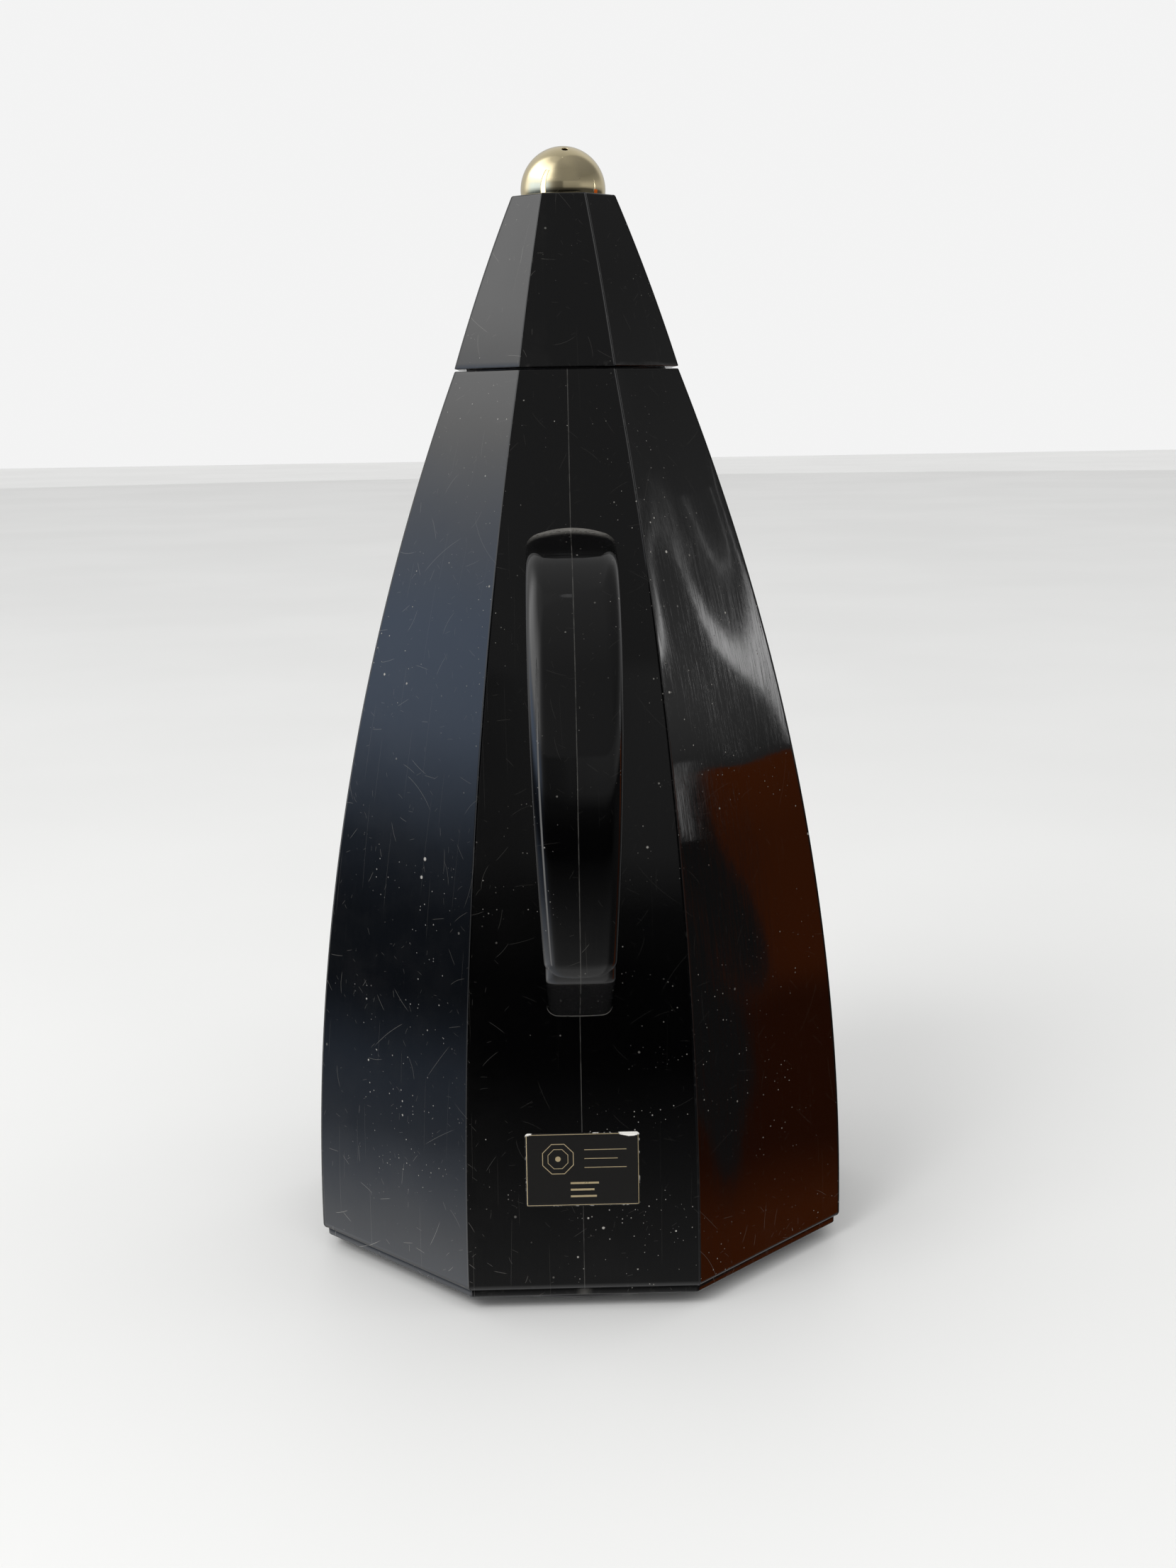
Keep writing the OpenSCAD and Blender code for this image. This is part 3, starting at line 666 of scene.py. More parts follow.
def make_spout():
    """The beak: U-shaped sections from inside the casing's wall out to a rounded pouring lip."""
    def section(y):
        taper = min(1.0, max(0.0, (y - 33 * MM) / (21 * MM)))
        rise = max(0.0, (y - 36 * MM) / (18 * MM))
        half_w = SPOUT_ROOT_HALF + (SPOUT_TIP_HALF - SPOUT_ROOT_HALF) * taper - 0.06 * MM
        low = SPOUT_LOW_Z + 16.6 * MM * rise + 0.06 * MM
        floor = max(TROUGH_Z, 226.2 * MM + (y - 36 * MM) * 1.05)
        floor = min(floor, SPOUT_TOP_Z - 0.7 * MM)
        top = SPOUT_TOP_Z - 0.06 * MM
        tip = SPOUT_TIP_Y - 0.06 * MM
        near = max(0.0, 1 - (tip - y) / (1.6 * MM))
        if near > 0:
            pull = 1.6 * MM * (1 - math.sqrt(max(0.0, 1 - near * near)))
            half_w -= pull
            low += pull * 0.7
            top -= pull * 0.35
            floor = max(low + 0.2 * MM, floor - 0.6 * pull)
        wall = SPOUT_WALL * min(1.0, half_w / SPOUT_TIP_HALF)
        inner = half_w - wall
        half = [(0, low, 0), (half_w, low, 2.4 * MM), (half_w, top, 0.6 * MM),
                (inner, top, 0.5 * MM), (inner, floor, 1.1 * MM), (0, floor, 0)]
        return rounded(half + [(-x, z, r) for x, z, r in half[-2:0:-1]], 5)

    ends = np.concatenate([np.linspace(30, 52.2, 30), 52.34 + 1.6 * np.sin(
        np.linspace(0, math.pi / 2, 9)[1:])]) * MM
    rows, uvs, edges = [], [], []
    for i, y in enumerate(ends):
        outline = section(min(y, SPOUT_TIP_Y - 0.061 * MM))
        row = []
        for x, z in outline:
            inside = half_width(CASING, z) - 1.4 * MM
            row.append((x, max(y, inside), z))
        rows.append(row)
        run = [0.0]
        for a, b in zip(outline, outline[1:] + outline[:1]):
            run.append(run[-1] + math.hypot(a[0] - b[0], a[1] - b[1]))
        uvs.append([((a, y), (b, y)) for a, b in zip(run, run[1:])])
        edges.append([1.0 if z > SPOUT_TOP_Z - 0.5 * MM else 0.0 for x, z in outline])
    piece = grid_mesh("spout_beak", rows, uvs, {"edge": edges})
    with reworked(piece) as work:
        bmesh.ops.remove_doubles(work, verts=work.verts, dist=2e-6)
        for at_tip in (True, False):
            rim = [e for e in work.edges if e.is_boundary
                   and (e.verts[0].co.y > SPOUT_TIP_Y - 1 * MM) == at_tip]
            if rim:
                bmesh.ops.contextual_create(work, geom=rim)
    return piece


def make_base_cap():
    """The screwed base: a round plate with its groove for the foot ring, a skirt and a pillar."""
    rim_low, rim_high = cap_low.z, 3.85 * MM
    rim_r = cap_high.x - 0.05 * MM
    skirt_r = 59.75 * MM
    top = cap_high.z - 0.05 * MM
    corners = [(0, rim_low, 0), (60.5 * MM, rim_low, 0.3 * MM), (60.5 * MM, 2.35 * MM, 0.1 * MM),
               (66.0 * MM, 2.35 * MM, 0.1 * MM), (66.0 * MM, rim_low, 0.25 * MM),
               (67.1 * MM, rim_low, 0.4 * MM), (rim_r, 1.7 * MM, 0.5 * MM),
               (rim_r, rim_high, 0.3 * MM), (skirt_r, rim_high, 0.3 * MM), (skirt_r, top, 0.6 * MM),
               (skirt_r - 2.4 * MM, top, 0.6 * MM), (skirt_r - 2.4 * MM, rim_high, 1 * MM),
               (24.9 * MM, rim_high, 1 * MM), (24.9 * MM, 10.4 * MM, 0.6 * MM),
               (21.1 * MM, 10.4 * MM, 0.6 * MM), (21.1 * MM, 4.9 * MM, 1 * MM), (0, 4.9 * MM, 0)]
    return lathe("base_screw_cap", rounded(corners, 4), 144)


def make_foot_ring():
    """The rubber ring under the base cap."""
    inner, outer = 60.65 * MM, foot_high.x - 0.05 * MM
    corners = [(inner, 0.01 * MM, 0.7 * MM), (outer, 0.01 * MM, 0.9 * MM),
               (outer, 2.25 * MM, 0.2 * MM), (inner, 2.25 * MM, 0.2 * MM)]
    return lathe("rubber_foot", rounded(corners, 6), 144)


# ---------------------------------------------------------------- materials
class Look:
    """One procedural material, built node by node around a Principled shader."""

    def __init__(self, name):
        self.material = bpy.data.materials.new(name)
        self.material.use_nodes = True
        self.tree = self.material.node_tree
        self.shader = self.tree.nodes["Principled BSDF"]

    def put(self, socket, value):
        if isinstance(value, bpy.types.NodeSocket):
            self.tree.links.new(value, socket)
        else:
            socket.default_value = value

    def node(self, kind, inputs=None, **settings):
        made = self.tree.nodes.new("ShaderNode" + kind)
        for key, value in settings.items():
            setattr(made, key, value)
        for key, value in (inputs or {}).items():
            self.put(made.inputs[key], value)
        return made

    def set(self, **values):
        for key, value in values.items():
            self.put(self.shader.inputs[key.replace("_", " ")], value)

    def math(self, operation, *values, clamp=False):
        """One Math node."""
        made = self.node("Math", operation=operation, use_clamp=clamp)
        for socket, value in zip(made.inputs, values):
            self.put(socket, value)
        return made.outputs[0]

    def total(self, *values):
        """A sum, kept within 0 to 1 at every step."""
        out = values[0]
        for value in values[1:]:
            out = self.math("ADD", out, value, clamp=True)
        return out

    def less(self, value, part):
        return self.math("SUBTRACT", value, part)

    def size(self, value):
        return self.math("ABSOLUTE", value)

    def length(self, x, y):
        return self.math("SQRT", self.math("ADD", self.math("POWER", x, 2.0),
                                           self.math("POWER", y, 2.0)))

    def times(self, *values):
        out = values[0]
        for value in values[1:]:
            out = self.math("MULTIPLY", out, value)
        return out

    def step(self, value, low, high, to_low=0.0, to_high=1.0):
        """A smooth step of a value from low to high."""
        made = self.node("MapRange", {"Value": value, "From Min": low, "From Max": high,
                                      "To Min": to_low, "To Max": to_high},
                         interpolation_type="SMOOTHSTEP")
        return made.outputs["Result"]

    def blend(self, share, a, b):
        made = self.node("Mix", data_type="RGBA")
        self.put(made.inputs[0], share)
        self.put(made.inputs[6], a)
        self.put(made.inputs[7], b)
        return made.outputs[2]

    def surface(self, scale=(1, 1, 1), shift=(0, 0, 0)):
        """The piece's own texture coordinates, in mm."""
        uv = self.node("UVMap", uv_map="surface").outputs[0]
        return self.scaled(uv, scale, shift)

    def solid(self, scale=(1, 1, 1), shift=(0, 0, 0)):
        """The place in the object, in mm."""
        return self.scaled(self.node("TexCoord").outputs["Object"], scale, shift)

    def scaled(self, where, scale, shift):
        made = self.node("Mapping")
        self.put(made.inputs["Vector"], where)
        made.inputs["Scale"].default_value = [1000 * s for s in scale]
        made.inputs["Location"].default_value = shift
        return made.outputs[0]

    def field(self, name):
        return self.node("Attribute", attribute_name=name).outputs["Fac"]

    def noise(self, where, size, detail=3.0, rough=0.55, twist=0.0):
        """Noise whose largest lumps are about size mm across; 0 to 1."""
        made = self.node("TexNoise", {"Vector": where, "Scale": 1.0 / size, "Detail": detail,
                                      "Roughness": rough, "Distortion": twist})
        return made.outputs["Fac"]

    def specks(self, where, cell, size, share):
        """Round specks, each of its own size, in a share of the cells of a pattern."""
        cells = self.node("TexVoronoi", {"Vector": where, "Scale": 1.0 / cell})
        parts = self.node("SeparateColor", {"Color": cells.outputs["Color"]}).outputs
        reach = self.math("MULTIPLY_ADD", self.times(parts[0], parts[0]), size, 0.25 * size)
        dot = self.less(1.0, self.math("DIVIDE", cells.outputs["Distance"], reach))
        return self.times(self.step(dot, 0.0, 0.5), self.math("LESS_THAN", parts[1], share))

    def scratches(self, where, cell, length, width, share, bend=0.0, lean=None):
        """Thin marks, one in a share of the cells; each turned its own way unless lean is given."""
        cells = self.node("TexVoronoi", {"Vector": where, "Scale": 1.0 / cell},
                          voronoi_dimensions="2D")
        parts = self.node("SeparateColor", {"Color": cells.outputs["Color"]}).outputs
        away = self.node("VectorMath", operation="SUBTRACT")
        self.put(away.inputs[0], where)
        self.put(away.inputs[1], cells.outputs["Position"])
        if lean is None:
            angle = self.math("MULTIPLY", parts[0], 2 * math.pi)
        else:
            angle = self.math("MULTIPLY_ADD", parts[0], lean[1], lean[0])
        turned = self.node("VectorRotate", {"Vector": away.outputs[0], "Angle": angle},
                           rotation_type="Z_AXIS")
        x, y, _ = self.node("SeparateXYZ", {"Vector": turned.outputs[0]}).outputs
        bow = self.times(self.less(parts[1], 0.5), bend, self.math("POWER", x, 2.0))
        off = self.size(self.less(y, bow))
        reach = self.math("MULTIPLY_ADD", parts[1], 0.7 * length, 0.3 * length)
        fade = self.step(self.size(x), self.times(reach, 0.3), self.times(reach, 0.5), 1.0, 0.0)
        line = self.step(off, 0.25 * width, 0.75 * width, 1.0, 0.0)
        return self.times(line, fade, self.math("LESS_THAN", parts[2], share))

    def relief(self, *layers):
        """Bumps laid one over another; a layer is a height of 0 to 1 and its depth in mm."""
        normal = None
        for height, depth in layers:
            inputs = {"Height": height, "Distance": depth * MM, "Strength": 1.0}
            if normal is not None:
                inputs["Normal"] = normal
            normal = self.node("Bump", inputs).outputs[0]
        self.set(Normal=normal)


BLACK = (0.0008, 0.0008, 0.0009, 1)
DUST = (0.50, 0.48, 0.44, 1)


def gloss_black(name, left_wear=1.0, seam=False):
    """Polished black ABS: hairlines, curved scuffs, dust, smudges, worn edges and a painted highlight
    line where the heel meets the casing.
    """
    look = Look(name)
    here, solid = look.surface(), look.solid()
    haze = look.field("haze")
    edge = look.field("edge")

    patches = look.step(look.noise(solid, 16, 3, 0.6), 0.42, 0.66)
    smears = look.noise(look.solid((1, 1, 0.6), (9, 4, 0)), 38, 4, 0.62, 0.6)
    smudge = look.times(look.step(smears, 0.45, 0.75), 0.8)
    hairline = look.noise(look.surface((9, 0.10, 1)), 1, 3, 0.6)
    hairline2 = look.noise(look.surface((3.1, 0.035, 1), (40, 7, 0)), 1, 2, 0.5)
    hairs = look.times(look.step(hairline, 0.45, 0.8), look.step(hairline2, 0.35, 0.7))

    fine_dust = look.specks(solid, 1.15, 0.17, 0.42)
    dust = look.specks(look.solid(shift=(31, 5, 17)), 3.3, 0.115, 0.33)
    big_dust = look.specks(look.solid(shift=(7, 55, 3)), 11, 0.05, 0.4)
    crowd = look.step(look.noise(solid, 30, 2, 0.5), 0.46, 0.62)
    dusty = look.total(look.times(fine_dust, crowd, 0.8),
                       look.times(dust, look.math("MULTIPLY_ADD", crowd, 0.8, 0.25)), big_dust)

    scuff_a = look.scratches(here, 9, 7.5, 0.12, 0.45, 0.10)
    scuff_b = look.scratches(look.surface(shift=(3.3, 8.1, 0)), 21, 20, 0.11, 0.5, 0.045)
    scuff_c = look.scratches(look.surface(shift=(13.3, 2.1, 0)), 3.4, 2.6, 0.10, 0.22, 0.2)
    tall = look.scratches(look.surface((1, 0.22, 1), (5, 1, 0)), 7, 6.5, 0.055, 0.5, 0.02,
                          lean=(math.pi / 2 - 0.16, 0.32))
    lines = look.total(look.times(scuff_a, 0.8), scuff_b, look.times(scuff_c, 0.6),
                       look.times(tall, 0.55))
    worn = look.math("MULTIPLY_ADD", haze, 0.95 * left_wear, 0.05)
    lines = look.times(lines, worn)

    chips = look.times(edge, look.step(look.noise(solid, 2.4, 4, 0.7), 0.56, 0.66))
    film = look.times(haze, patches, 0.012 * left_wear)
    # dust on top of the bow's upper root, and a painted highlight line where the heel's lower face meets
    # the facet
    root_dust_and_highlight = look.times(look.field("root_dust_and_highlight"),
                      look.step(look.noise(solid, 0.9, 3, 0.7), 0.32, 0.5, 0.45, 1.0))
    cover = look.total(look.times(dusty, 0.62), look.times(lines, 0.45), film,
                       look.times(chips, 0.025), look.times(hairs, haze, 0.02), look.times(root_dust_and_highlight, 0.45))
    rough = look.total(0.03, look.times(smudge, 0.03), look.times(hairs, haze, 0.10),
                       look.times(haze, patches, 0.14), look.times(lines, 0.3),
                       look.times(dusty, 0.6), look.times(edge, 0.04), look.times(root_dust_and_highlight, 0.5))
    if seam:
        line = look.times(look.field("seam"),
                          look.step(look.noise(solid, 5, 3, 0.6), 0.3, 0.6, 0.35, 1.0))
        cover = look.total(cover, look.times(line, 0.11))
        rough = look.total(rough, look.times(line, 0.4))
    look.set(Base_Color=look.blend(cover, BLACK, DUST), Roughness=rough)
    look.relief((look.noise(solid, 3.2, 2, 0.5), 0.0022), (hairs, 0.0009),
                (look.less(1.0, lines), 0.004), (dusty, 0.02))
    return look.material


def gilt():
    """Thin bright gold plating over plastic, with tiny dark pits and soft rubbed patches."""
    look = Look("gilt_plating")
    solid = look.solid()
    rubbed = look.step(look.noise(solid, 6, 4, 0.6), 0.42, 0.7)
    pits = look.specks(look.solid(shift=(3, 9, 4)), 1.6, 0.13, 0.18)
    fine = look.scratches(look.surface(shift=(4, 2, 0)), 3.2, 2.8, 0.035, 0.4, 0.1)
    tone = look.blend(rubbed, (0.86, 0.74, 0.47, 1), (0.80, 0.69, 0.45, 1))
    tone = look.blend(look.times(pits, 0.7), tone, (0.20, 0.14, 0.06, 1))
    look.set(Base_Color=tone, Metallic=1.0,
             Roughness=look.total(0.045, look.times(rubbed, 0.05), look.times(fine, 0.2),
                                  look.times(pits, 0.4)))
    look.relief((look.less(1.0, pits), 0.02), (fine, 0.002))
    return look.material


# The badge's plain bars in mm from its middle: left end, right end, level and thickness
BADGE_BARS = ((0.5, 11.5, 5.4, 0.16), (0.5, 9.2, 3.0, 0.16), (0.5, 11.5, 0.6, 0.16),
              (-3.2, 4.2, -3.6, 0.5), (-3.2, 3.0, -5.4, 0.5), (-3.2, 3.6, -7.2, 0.5))


def printed_foil():
    """A black badge with a fine gold border, a generic octagon motif and rubbed corners."""
    look = Look("badge_print")
    here, solid = look.surface(), look.solid()
    x, y, _ = look.node("SeparateXYZ", {"Vector": here}).outputs
    half_w = (label_high.x - label_low.x) / 2 / MM
    half_h = (label_high.z - label_low.z) / 2 / MM

    def band(value, middle, width):
        off = look.size(look.less(value, middle))
        return look.step(off, width * 0.5 - 0.03, width * 0.5 + 0.03, 1.0, 0.0)

    inset = look.math("MINIMUM", look.less(half_w, look.size(x)), look.less(half_h, look.size(y)))
    border = band(inset, 0.42, 0.14)
    ox, oy = look.size(look.math("ADD", x, 6.4)), look.size(look.less(y, 3.0))
    slant = look.times(look.math("ADD", ox, oy), 0.7071)
    octagon = look.math("MAXIMUM", look.math("MAXIMUM", ox, oy), slant)
    ring = look.total(band(octagon, 4.0, 0.18), band(octagon, 2.6, 0.14))
    dot = look.step(look.length(ox, oy), 0.65, 0.75, 1.0, 0.0)
    bars = 0.0
    for low, high, level, width in BADGE_BARS:
        bars = look.total(bars, look.times(band(x, (low + high) / 2, high - low),
                                           band(y, level, width)))
    wear = look.noise(solid, 1.6, 4, 0.7)
    gold = look.times(look.total(border, ring, dot, bars), look.step(wear, 0.28, 0.40))
    corner = 0.0
    ragged = look.times(look.noise(solid, 1.1, 4, 0.7), 1.3)
    for cx, cy, reach in ((-half_w, half_h, 2.0), (half_w * 0.84, half_h, 2.9),
                          (half_w, -half_h, 1.0)):
        far = look.length(look.times(look.less(x, cx), 0.72), look.times(look.less(y, cy), 1.9))
        patch = look.step(look.math("ADD", far, ragged), reach * 0.9, reach * 1.02, 1.0, 0.0)
        corner = look.total(corner, patch)
    nicks = look.times(look.step(inset, 0.0, 0.35, 1.0, 0.0),
                       look.step(look.noise(solid, 2.2, 3, 0.6), 0.58, 0.64))
    bare = look.total(corner, look.times(nicks, 0.8))
    dusty = look.specks(look.solid(shift=(2, 3, 8)), 2.4, 0.10, 0.30)
    tone = look.blend(gold, (0.011, 0.0105, 0.010, 1), (0.62, 0.50, 0.30, 1))
    tone = look.blend(bare, tone, (0.78, 0.76, 0.72, 1))
    tone = look.blend(look.times(dusty, 0.5), tone, DUST)
    look.set(Base_Color=tone, Metallic=look.times(gold, 0.6), Specular_IOR_Level=0.25,
             Roughness=look.total(0.24, look.times(gold, 0.12), look.times(bare, 0.5),
                                  look.times(dusty, 0.4)))
    look.relief((gold, 0.02), (look.less(1.0, bare), 0.05))
    return look.material


def plain_look(name, base, rough, spread, grain, depth, metal=0.0, level=0.4, dirt=0.15,
               stretch=(1, 1, 1)):
    """A moulded, rubbery or turned material: mottled tone, grain relief and a little dust."""
    look = Look(name)
    grains = look.noise(look.solid(stretch), grain, 4, 0.65)
    broad = look.step(look.noise(look.solid(shift=(5, 3, 1)), 9, 4, 0.6), 0.35, 0.7)
    dust = look.specks(look.solid(shift=(8, 1, 4)), 2.3, 0.11, 0.25)
    light = tuple(min(1.0, 1.35 * c + 0.01) for c in base)
    dark = tuple(0.7 * c for c in base)
    tone = look.blend(look.times(broad, 0.6), (*base, 1), (*light, 1))
    tone = look.blend(look.times(look.step(grains, 0.5, 0.8), 0.25), tone, (*dark, 1))
    tone = look.blend(look.times(dust, dirt), tone, DUST)
    look.set(Base_Color=tone, Metallic=metal, Specular_IOR_Level=level,
             Roughness=look.total(rough, look.times(broad, spread),
                                  look.times(grains, 0.4 * spread), look.times(dust, 0.3)))
    look.relief((grains, depth))
    return look.material


# ---------------------------------------------------------------- the pieces
def finish_piece(piece, body, slot, material, *nodes):
    piece.data.materials.clear()
    piece.data.materials.append(material)
    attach(piece, body)
    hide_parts(*nodes)
    return piece


casing_black = gloss_black("casing_black", seam=True)
lid_black = gloss_black("lid_black", left_wear=0.7)
handle_black = gloss_black("handle_black", left_wear=0.5, seam=True)
base_black = plain_look("base_black", (0.012, 0.012, 0.013), 0.28, 0.15, 0.35, 0.012, level=0.3)
rubber_black = plain_look("rubber_black", (0.016, 0.016, 0.016), 0.62, 0.2, 0.25, 0.03, dirt=0.3)


def shade_field(piece, values):
    """Adds haze and seam weights to a piece that has none."""
    for key, rule in values.items():
        if key not in piece.data.attributes:
            attribute = piece.data.attributes.new(key, "FLOAT", "POINT")
            attribute.data.foreach_set("value", [rule(v.co) for v in piece.data.vertices])


def mould_line(co):
    """1 on the fine line up the middle of the handle's and the spout's facets."""
    return max(0.0, 1 - abs(co.x) / (0.16 * MM)) if abs(co.y) > 25 * MM else 0.0


def handle_haze(co):
    """Dust gathers where the bow meets the casing, and the grip's low end is rubbed."""
    root = max(0.0, 1 - abs(co.z - TOP_ROOT.y - 1 * MM) / (4 * MM))
    low = max(0.0, 1 - abs(co.z - GRIP_END) / (22 * MM))
    return min(1.0, root + 0.45 * low)


def casing_gap(co):
    """How far a point of the bow stands off the handle's facet."""
    return -co.y - half_width(CASING, co.z)


def grip_join(co):
    """Dust on top of the bow's upper root, most of it in the middle."""
    if co.z < TOP_ROOT.y - 6 * MM:
        return 0.0
    return max(0.0, 1 - casing_gap(co) / (5.5 * MM)) * max(0.0, 1 - (co.x / (12 * MM)) ** 4)


def heel_painted_highlight(co):
    """A pale line painted where the heel's lower face meets the facet: a painted highlight along the
    heel's lower edge.
    """
    if co.z > 90 * MM:
        return 0.0
    return max(0.0, 1 - max(0.0, casing_gap(co) - 0.3 * MM) / (0.7 * MM))


pieces = {
    "casing": finish_piece(make_casing(), "jug", "casing_plastic", casing_black, "outer_casing"),
    "grip": finish_piece(make_grip(), "jug", "casing_plastic", handle_black, "handle_grip"),
    "heel": finish_piece(make_heel(), "jug", "casing_plastic", handle_black, "handle_heel"),
    "badge": finish_piece(make_badge(), "jug", "badge_foil", printed_foil(), "label"),
    "spout": finish_piece(make_spout(), "jug", "casing_plastic", casing_black, "pouring_spout"),
    "ring": finish_piece(make_bottom_ring(), "jug", "casing_plastic", casing_black, "bottom_ring"),
    "cap": finish_piece(make_base_cap(), "jug", "base_plastic", base_black, "base_cap"),
    "foot": finish_piece(make_foot_ring(), "jug", "dark_rubber", rubber_black, "foot_ring"),
    "lid": finish_piece(make_lid(), "lid", "lid_plastic", lid_black, "lid_shell"),
    "ball": finish_piece(make_ball(), "button", "gilt", gilt(), "ball_button"),
}
for key in ("casing", "spout", "ring"):
    shade_field(pieces[key], {"seam": mould_line, "haze": casing_haze})
# the grip's weight is root dust; the heel's weight is a painted highlight line along its lower edge
shade_field(pieces["grip"], {"seam": mould_line, "haze": handle_haze, "root_dust_and_highlight": grip_join})
shade_field(pieces["heel"], {"seam": mould_line, "haze": handle_haze, "root_dust_and_highlight": heel_painted_highlight})
shade_field(pieces["lid"], {"seam": lambda co: 0.0})

# Looks of the CAD nodes that are shown as they are
CARRIED = {
    "neck_collar": plain_look("collar_plastic", (0.02, 0.02, 0.021), 0.34, 0.2, 0.4, 0.015),
    "stopper_housing": plain_look("stopper_plastic", (0.022, 0.022, 0.023), 0.32, 0.2, 0.4, 0.015),
    "stem_guide": plain_look("guide_plastic", (0.025, 0.025, 0.026), 0.36, 0.2, 0.4, 0.015),
    "collar_gasket": plain_look("pale_rubber", (0.62, 0.58, 0.48), 0.6, 0.2, 0.3, 0.02),
    "wall_spacer_pads": plain_look("grey_felt", (0.27, 0.25, 0.22), 0.9, 0.08, 0.22, 0.12),
    "support_cup": plain_look("white_plastic", (0.70, 0.68, 0.61), 0.4, 0.15, 0.5, 0.01),
    "lid_insulation": plain_look("pale_foam", (0.78, 0.75, 0.66), 0.85, 0.1, 0.5, 0.2),
    "flask_outer_wall": plain_look("silvered_outer", (0.74, 0.77, 0.80), 0.10, 0.12, 6, 0.01, metal=0.85),
    "flask_inner_wall": plain_look("silvered_inner", (0.78, 0.80, 0.82), 0.07, 0.1, 6, 0.01, metal=0.85),
}
CARRIED["valve_disc"] = CARRIED["support_cup"]
steel = plain_look("bright_steel", (0.58, 0.58, 0.57), 0.22, 0.15, 0.15, 0.004, metal=1.0,
                   stretch=(1, 1, 9))
for name in ("push_stem", "spring_cap", "return_spring", "valve_nut", "lid_screws"):
    CARRIED[name] = steel
for name in ("neck_seal", "stem_o_ring", "valve_seal", "support_cushion"):
    CARRIED[name] = rubber_black

for name, material in CARRIED.items():
    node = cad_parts[name]
    node.data.materials.clear()
    node.data.materials.append(material)


# ---------------------------------------------------------------- floor, lights, camera
def emitter(name, rows, radiance):
    """A glowing sheet that only glossy rays can see. radiance gives a colour for a point."""
    piece = grid_mesh(name, rows, closed=False)
    material = bpy.data.materials.new(name)
    material.use_nodes = True
    tree = material.node_tree
    tree.nodes.clear()
    glow = tree.nodes.new("ShaderNodeEmission")
    out = tree.nodes.new("ShaderNodeOutputMaterial")
    glow.inputs["Strength"].default_value = 1.0
    tree.links.new(glow.outputs[0], out.inputs["Surface"])
    attribute = tree.nodes.new("ShaderNodeAttribute")
    attribute.attribute_name = "glow"
    tree.links.new(attribute.outputs["Color"], glow.inputs["Color"])
    values = []
    for i, row in enumerate(rows):
        for j, p in enumerate(row):
            values += [*radiance(Vector(p), i, j), 1.0]
    layer = piece.data.attributes.new("glow", "FLOAT_COLOR", "POINT")
    layer.data.foreach_set("color", values)
    piece.data.materials.append(material)
    for rays in ("camera", "diffuse", "transmission", "shadow"):
        setattr(piece, "visible_" + rays, False)
    return piece


MIDDLE_Z = 0.14  # level of the carafe's middle, from which the room's directions are measured


def sky_point(azimuth, elevation, distance):
    """A point seen from the carafe's middle; azimuth 0 is +Y and 90 is +X."""
    az, el = math.radians(azimuth), math.radians(elevation)
    return (distance * math.sin(az) * math.cos(el), distance * math.cos(az) * math.cos(el),
            MIDDLE_Z + distance * math.sin(el))


def sky_patch(name, azimuths, elevations, distance, radiance):
    rows = [[sky_point(a, e, distance) for a in azimuths] for e in elevations]
    return emitter(name, rows, radiance)


def bearings(p):
    """Azimuth and elevation of a point in degrees."""
    flat = math.hypot(p.x, p.y)
    return math.degrees(math.atan2(p.x, p.y)), math.degrees(math.atan2(p.z - MIDDLE_Z, flat))


def profile(pairs, value):
    """Straight lines between (place, level) pairs."""
    return float(np.interp(value, [a for a, _ in pairs], [b for _, b in pairs]))


# Brightness of the room round the carafe by elevation, as (degrees, radiance). The levels are
# fitted to the tones that the real carafe's facets reflect, so they aren't a plain studio
LEFT_WALL = ((-90, 0.7), (-40, 0.9), (-27, 1.5), (-22.5, 0.95), (-18, 0.36), (-14, 0.27),
             (-9.5, 0.06), (-4, 0.08), (0, 0.22), (4.5, 0.7), (8, 1.1), (12, 1.2), (16, 1.25),
             (20, 1.4), (24, 1.85), (28, 2.45), (45, 2.4), (70, 0.6), (90, 0.35))
RIGHT_WALL = ((-90, 0.5), (-45, 0.3), (-30, 0.06), (3, 0.06), (5.5, 0.28), (9, 0.42), (14, 0.38),
              (20, 0.25), (30, 0.18), (60, 0.25), (90, 0.35))
BACK_WALL = ((-90, 0.8), (-45, 0.7), (-30, 0.3), (-24, 0.2), (-17, 0.09), (-10, 0.0), (-3, 0.01),
             (2, 0.05), (6, 0.16), (12, 0.19), (24, 0.23), (55, 0.24), (70, 0.3), (90, 0.35))
FAR_WALL = ((-90, 0.5), (-10, 0.3), (10, 0.5), (40, 0.6), (90, 0.35))
# Middle and half width in degrees of azimuth over which each wall rules
WALLS = ((LEFT_WALL, -108, 36), (RIGHT_WALL, 90, 38), (BACK_WALL, 180, 42), (FAR_WALL, 0, 40))


def apart(a, b):
    """Difference of two azimuths, from -180 to 180."""
    return (a - b + 180) % 360 - 180


def room_glow(p, *_):
    """Radiance of the room in the direction of p, blended between its four walls."""
    azimuth, elevation = bearings(p)
    share, total, cool = 0.0, 0.0, 0.0
    for wall, middle, half in WALLS:
        weight = 1 / (1 + (apart(azimuth, middle) / half) ** 8)
        level = profile(wall, elevation)
        if wall is BACK_WALL and 3 < elevation < 21:
            level *= 1 - 0.4 * math.tanh(apart(azimuth, 180) / 2)
        if wall is LEFT_WALL:
            cool = weight * profile(((-24, 0.2), (-14, 1), (14, 1), (25, 0)), elevation)
        share += weight
        total += weight * level
    level = total / share
    return level * (1 - 0.2 * cool), level, level * (1 + 0.36 * cool)


sky_patch("studio_room", np.linspace(-180, 180, 181), np.linspace(-89, 89, 119), 6.0, room_glow)

WARM_LEVELS = ((-40, 0.34), (-24, 0.34), (-20, 0.14), (-11, 0.16), (-9, 0.34), (0, 0.36), (5, 0.5))


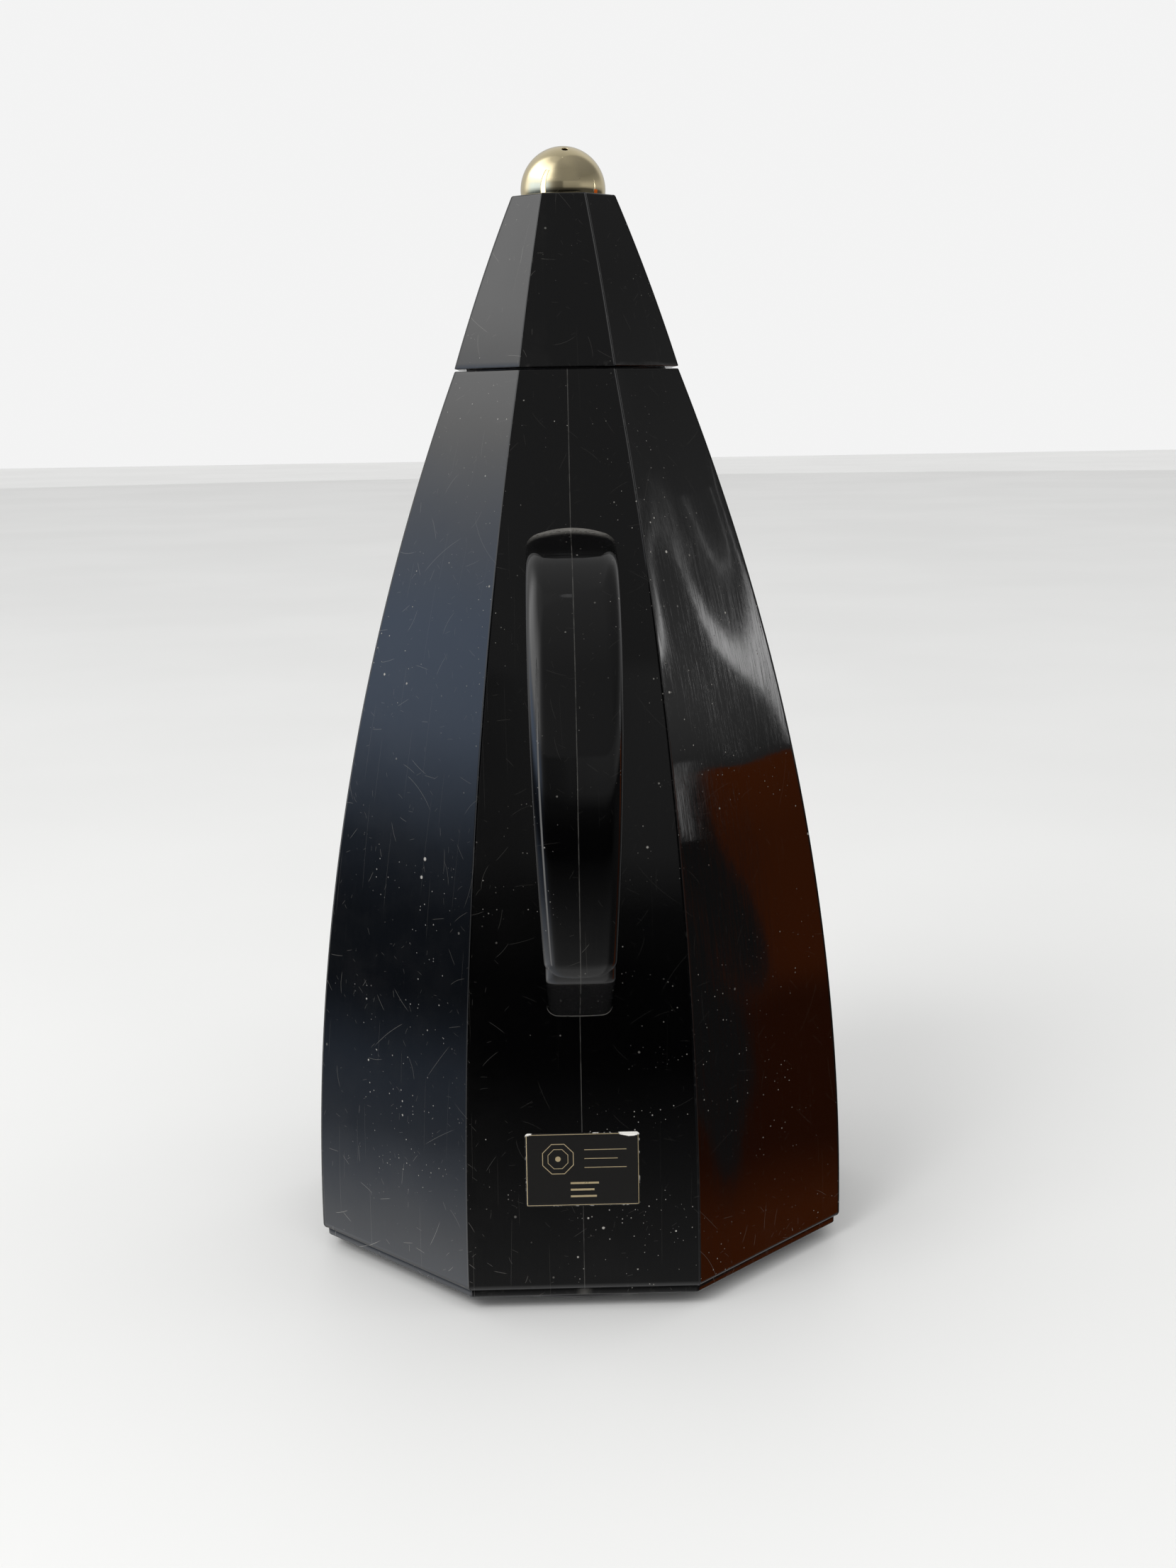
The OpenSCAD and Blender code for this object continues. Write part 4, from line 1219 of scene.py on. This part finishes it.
def warm_glow(p, *_):
    """A warm, dim panel low on the right."""
    level = profile(WARM_LEVELS, bearings(p)[1])
    return level, 0.22 * level, 0.04 * level


sky_patch("warm_panel", np.linspace(74, 87, 8), np.linspace(-40, 4.3, 60), 5.0, warm_glow)


def slit(name, stops):
    """A bright curved slit in the room: stops of azimuth, elevation, half width and radiance."""
    rows = [[sky_point(azimuth + wide * v, elevation, 4.5) for v in (-1, -0.45, 0.45, 1)]
            for azimuth, elevation, wide, _ in stops]
    emitter(name, rows, lambda p, i, j: [stops[i][3] if j in (1, 2) else 0.3] * 3)


slit("right_blind", ((82.6, 23, 0.1, 0.7), (83.5, 19.5, 0.2, 1.2), (84.1, 16, 0.3, 2),
                     (84.4, 13.5, 0.55, 4), (84.4, 11.5, 0.7, 5.5), (84.4, 9.5, 0.55, 5),
                     (84.4, 7, 0.3, 4), (84.5, 4.6, 0.2, 3.5)))
slit("right_gap", ((81.8, 21, 0.12, 1.1), (82.5, 18, 0.16, 1.5), (83.0, 13, 0.16, 1.7),
                   (83.2, 7.3, 0.12, 1.7)))
slit("low_gap", ((87.6, 5.2, 0.14, 2.5), (87.9, 2.5, 0.14, 2.2), (88.1, 0.2, 0.1, 1.6)))
slit("left_blind", ((-124, 48, 8, 1.6), (-124, 20, 8, 3), (-124, 0, 8, 3.4), (-124, -34, 8, 2.6)))


KEY_PLACE = Vector((-1.1, -1.3, 1.7))
KEY_TARGET = Vector((0, 0, 0.12))
key_data = bpy.data.lights.new("soft_key", "AREA")
key_data.shape, key_data.size, key_data.energy = "DISK", 1.2, 22
key = bpy.data.objects.new("soft_key", key_data)
key.location = KEY_PLACE
key.rotation_euler = (KEY_TARGET - KEY_PLACE).to_track_quat("-Z", "Y").to_euler()
key.visible_glossy = False
bpy.context.scene.collection.objects.link(key)

floor_rows = [[(x, y, 0.0) for x in np.linspace(-6, 6, 25)] for y in np.linspace(-4, 8, 25)]
floor = grid_mesh("studio_floor", floor_rows, closed=False)
floor_look = Look("pale_floor")
floor_patches = floor_look.step(floor_look.noise(floor_look.solid(), 400, 3, 0.5), 0.3, 0.7)
floor_tone = floor_look.blend(floor_patches, (0.80, 0.80, 0.79, 1), (0.83, 0.83, 0.82, 1))
floor_look.set(Base_Color=floor_tone, Roughness=0.55, Specular_IOR_Level=0.3)
floor.data.materials.append(floor_look.material)
floor.visible_glossy = False

world = bpy.data.worlds.new("studio")
bpy.context.scene.world = world
world.use_nodes = True
background = world.node_tree.nodes["Background"]
background.inputs["Color"].default_value = (1, 1, 1, 1)
background.inputs["Strength"].default_value = 0.9

camera_data = bpy.data.cameras.new("camera")
camera_data.lens = 44.32
camera_data.sensor_width = 36.0
camera = bpy.data.objects.new("camera", camera_data)
bpy.context.scene.collection.objects.link(camera)
CAMERA_PLACE = Vector((-5.28, -548.5, 235.8)) * MM
YAW, PITCH, ROLL = math.radians(0.996), math.radians(-11.13), math.radians(-0.908)
forward = Vector((math.sin(YAW) * math.cos(PITCH), math.cos(YAW) * math.cos(PITCH), math.sin(PITCH)))
level = Vector((math.cos(YAW), -math.sin(YAW), 0))
upright = level.cross(forward)
right = math.cos(ROLL) * level + math.sin(ROLL) * upright
above = -math.sin(ROLL) * level + math.cos(ROLL) * upright
turn = Matrix((right, above, -forward)).transposed()
camera.matrix_world = Matrix.Translation(CAMERA_PLACE) @ turn.to_4x4()
bpy.context.scene.camera = camera
bpy.context.scene.view_settings.view_transform = "Standard"
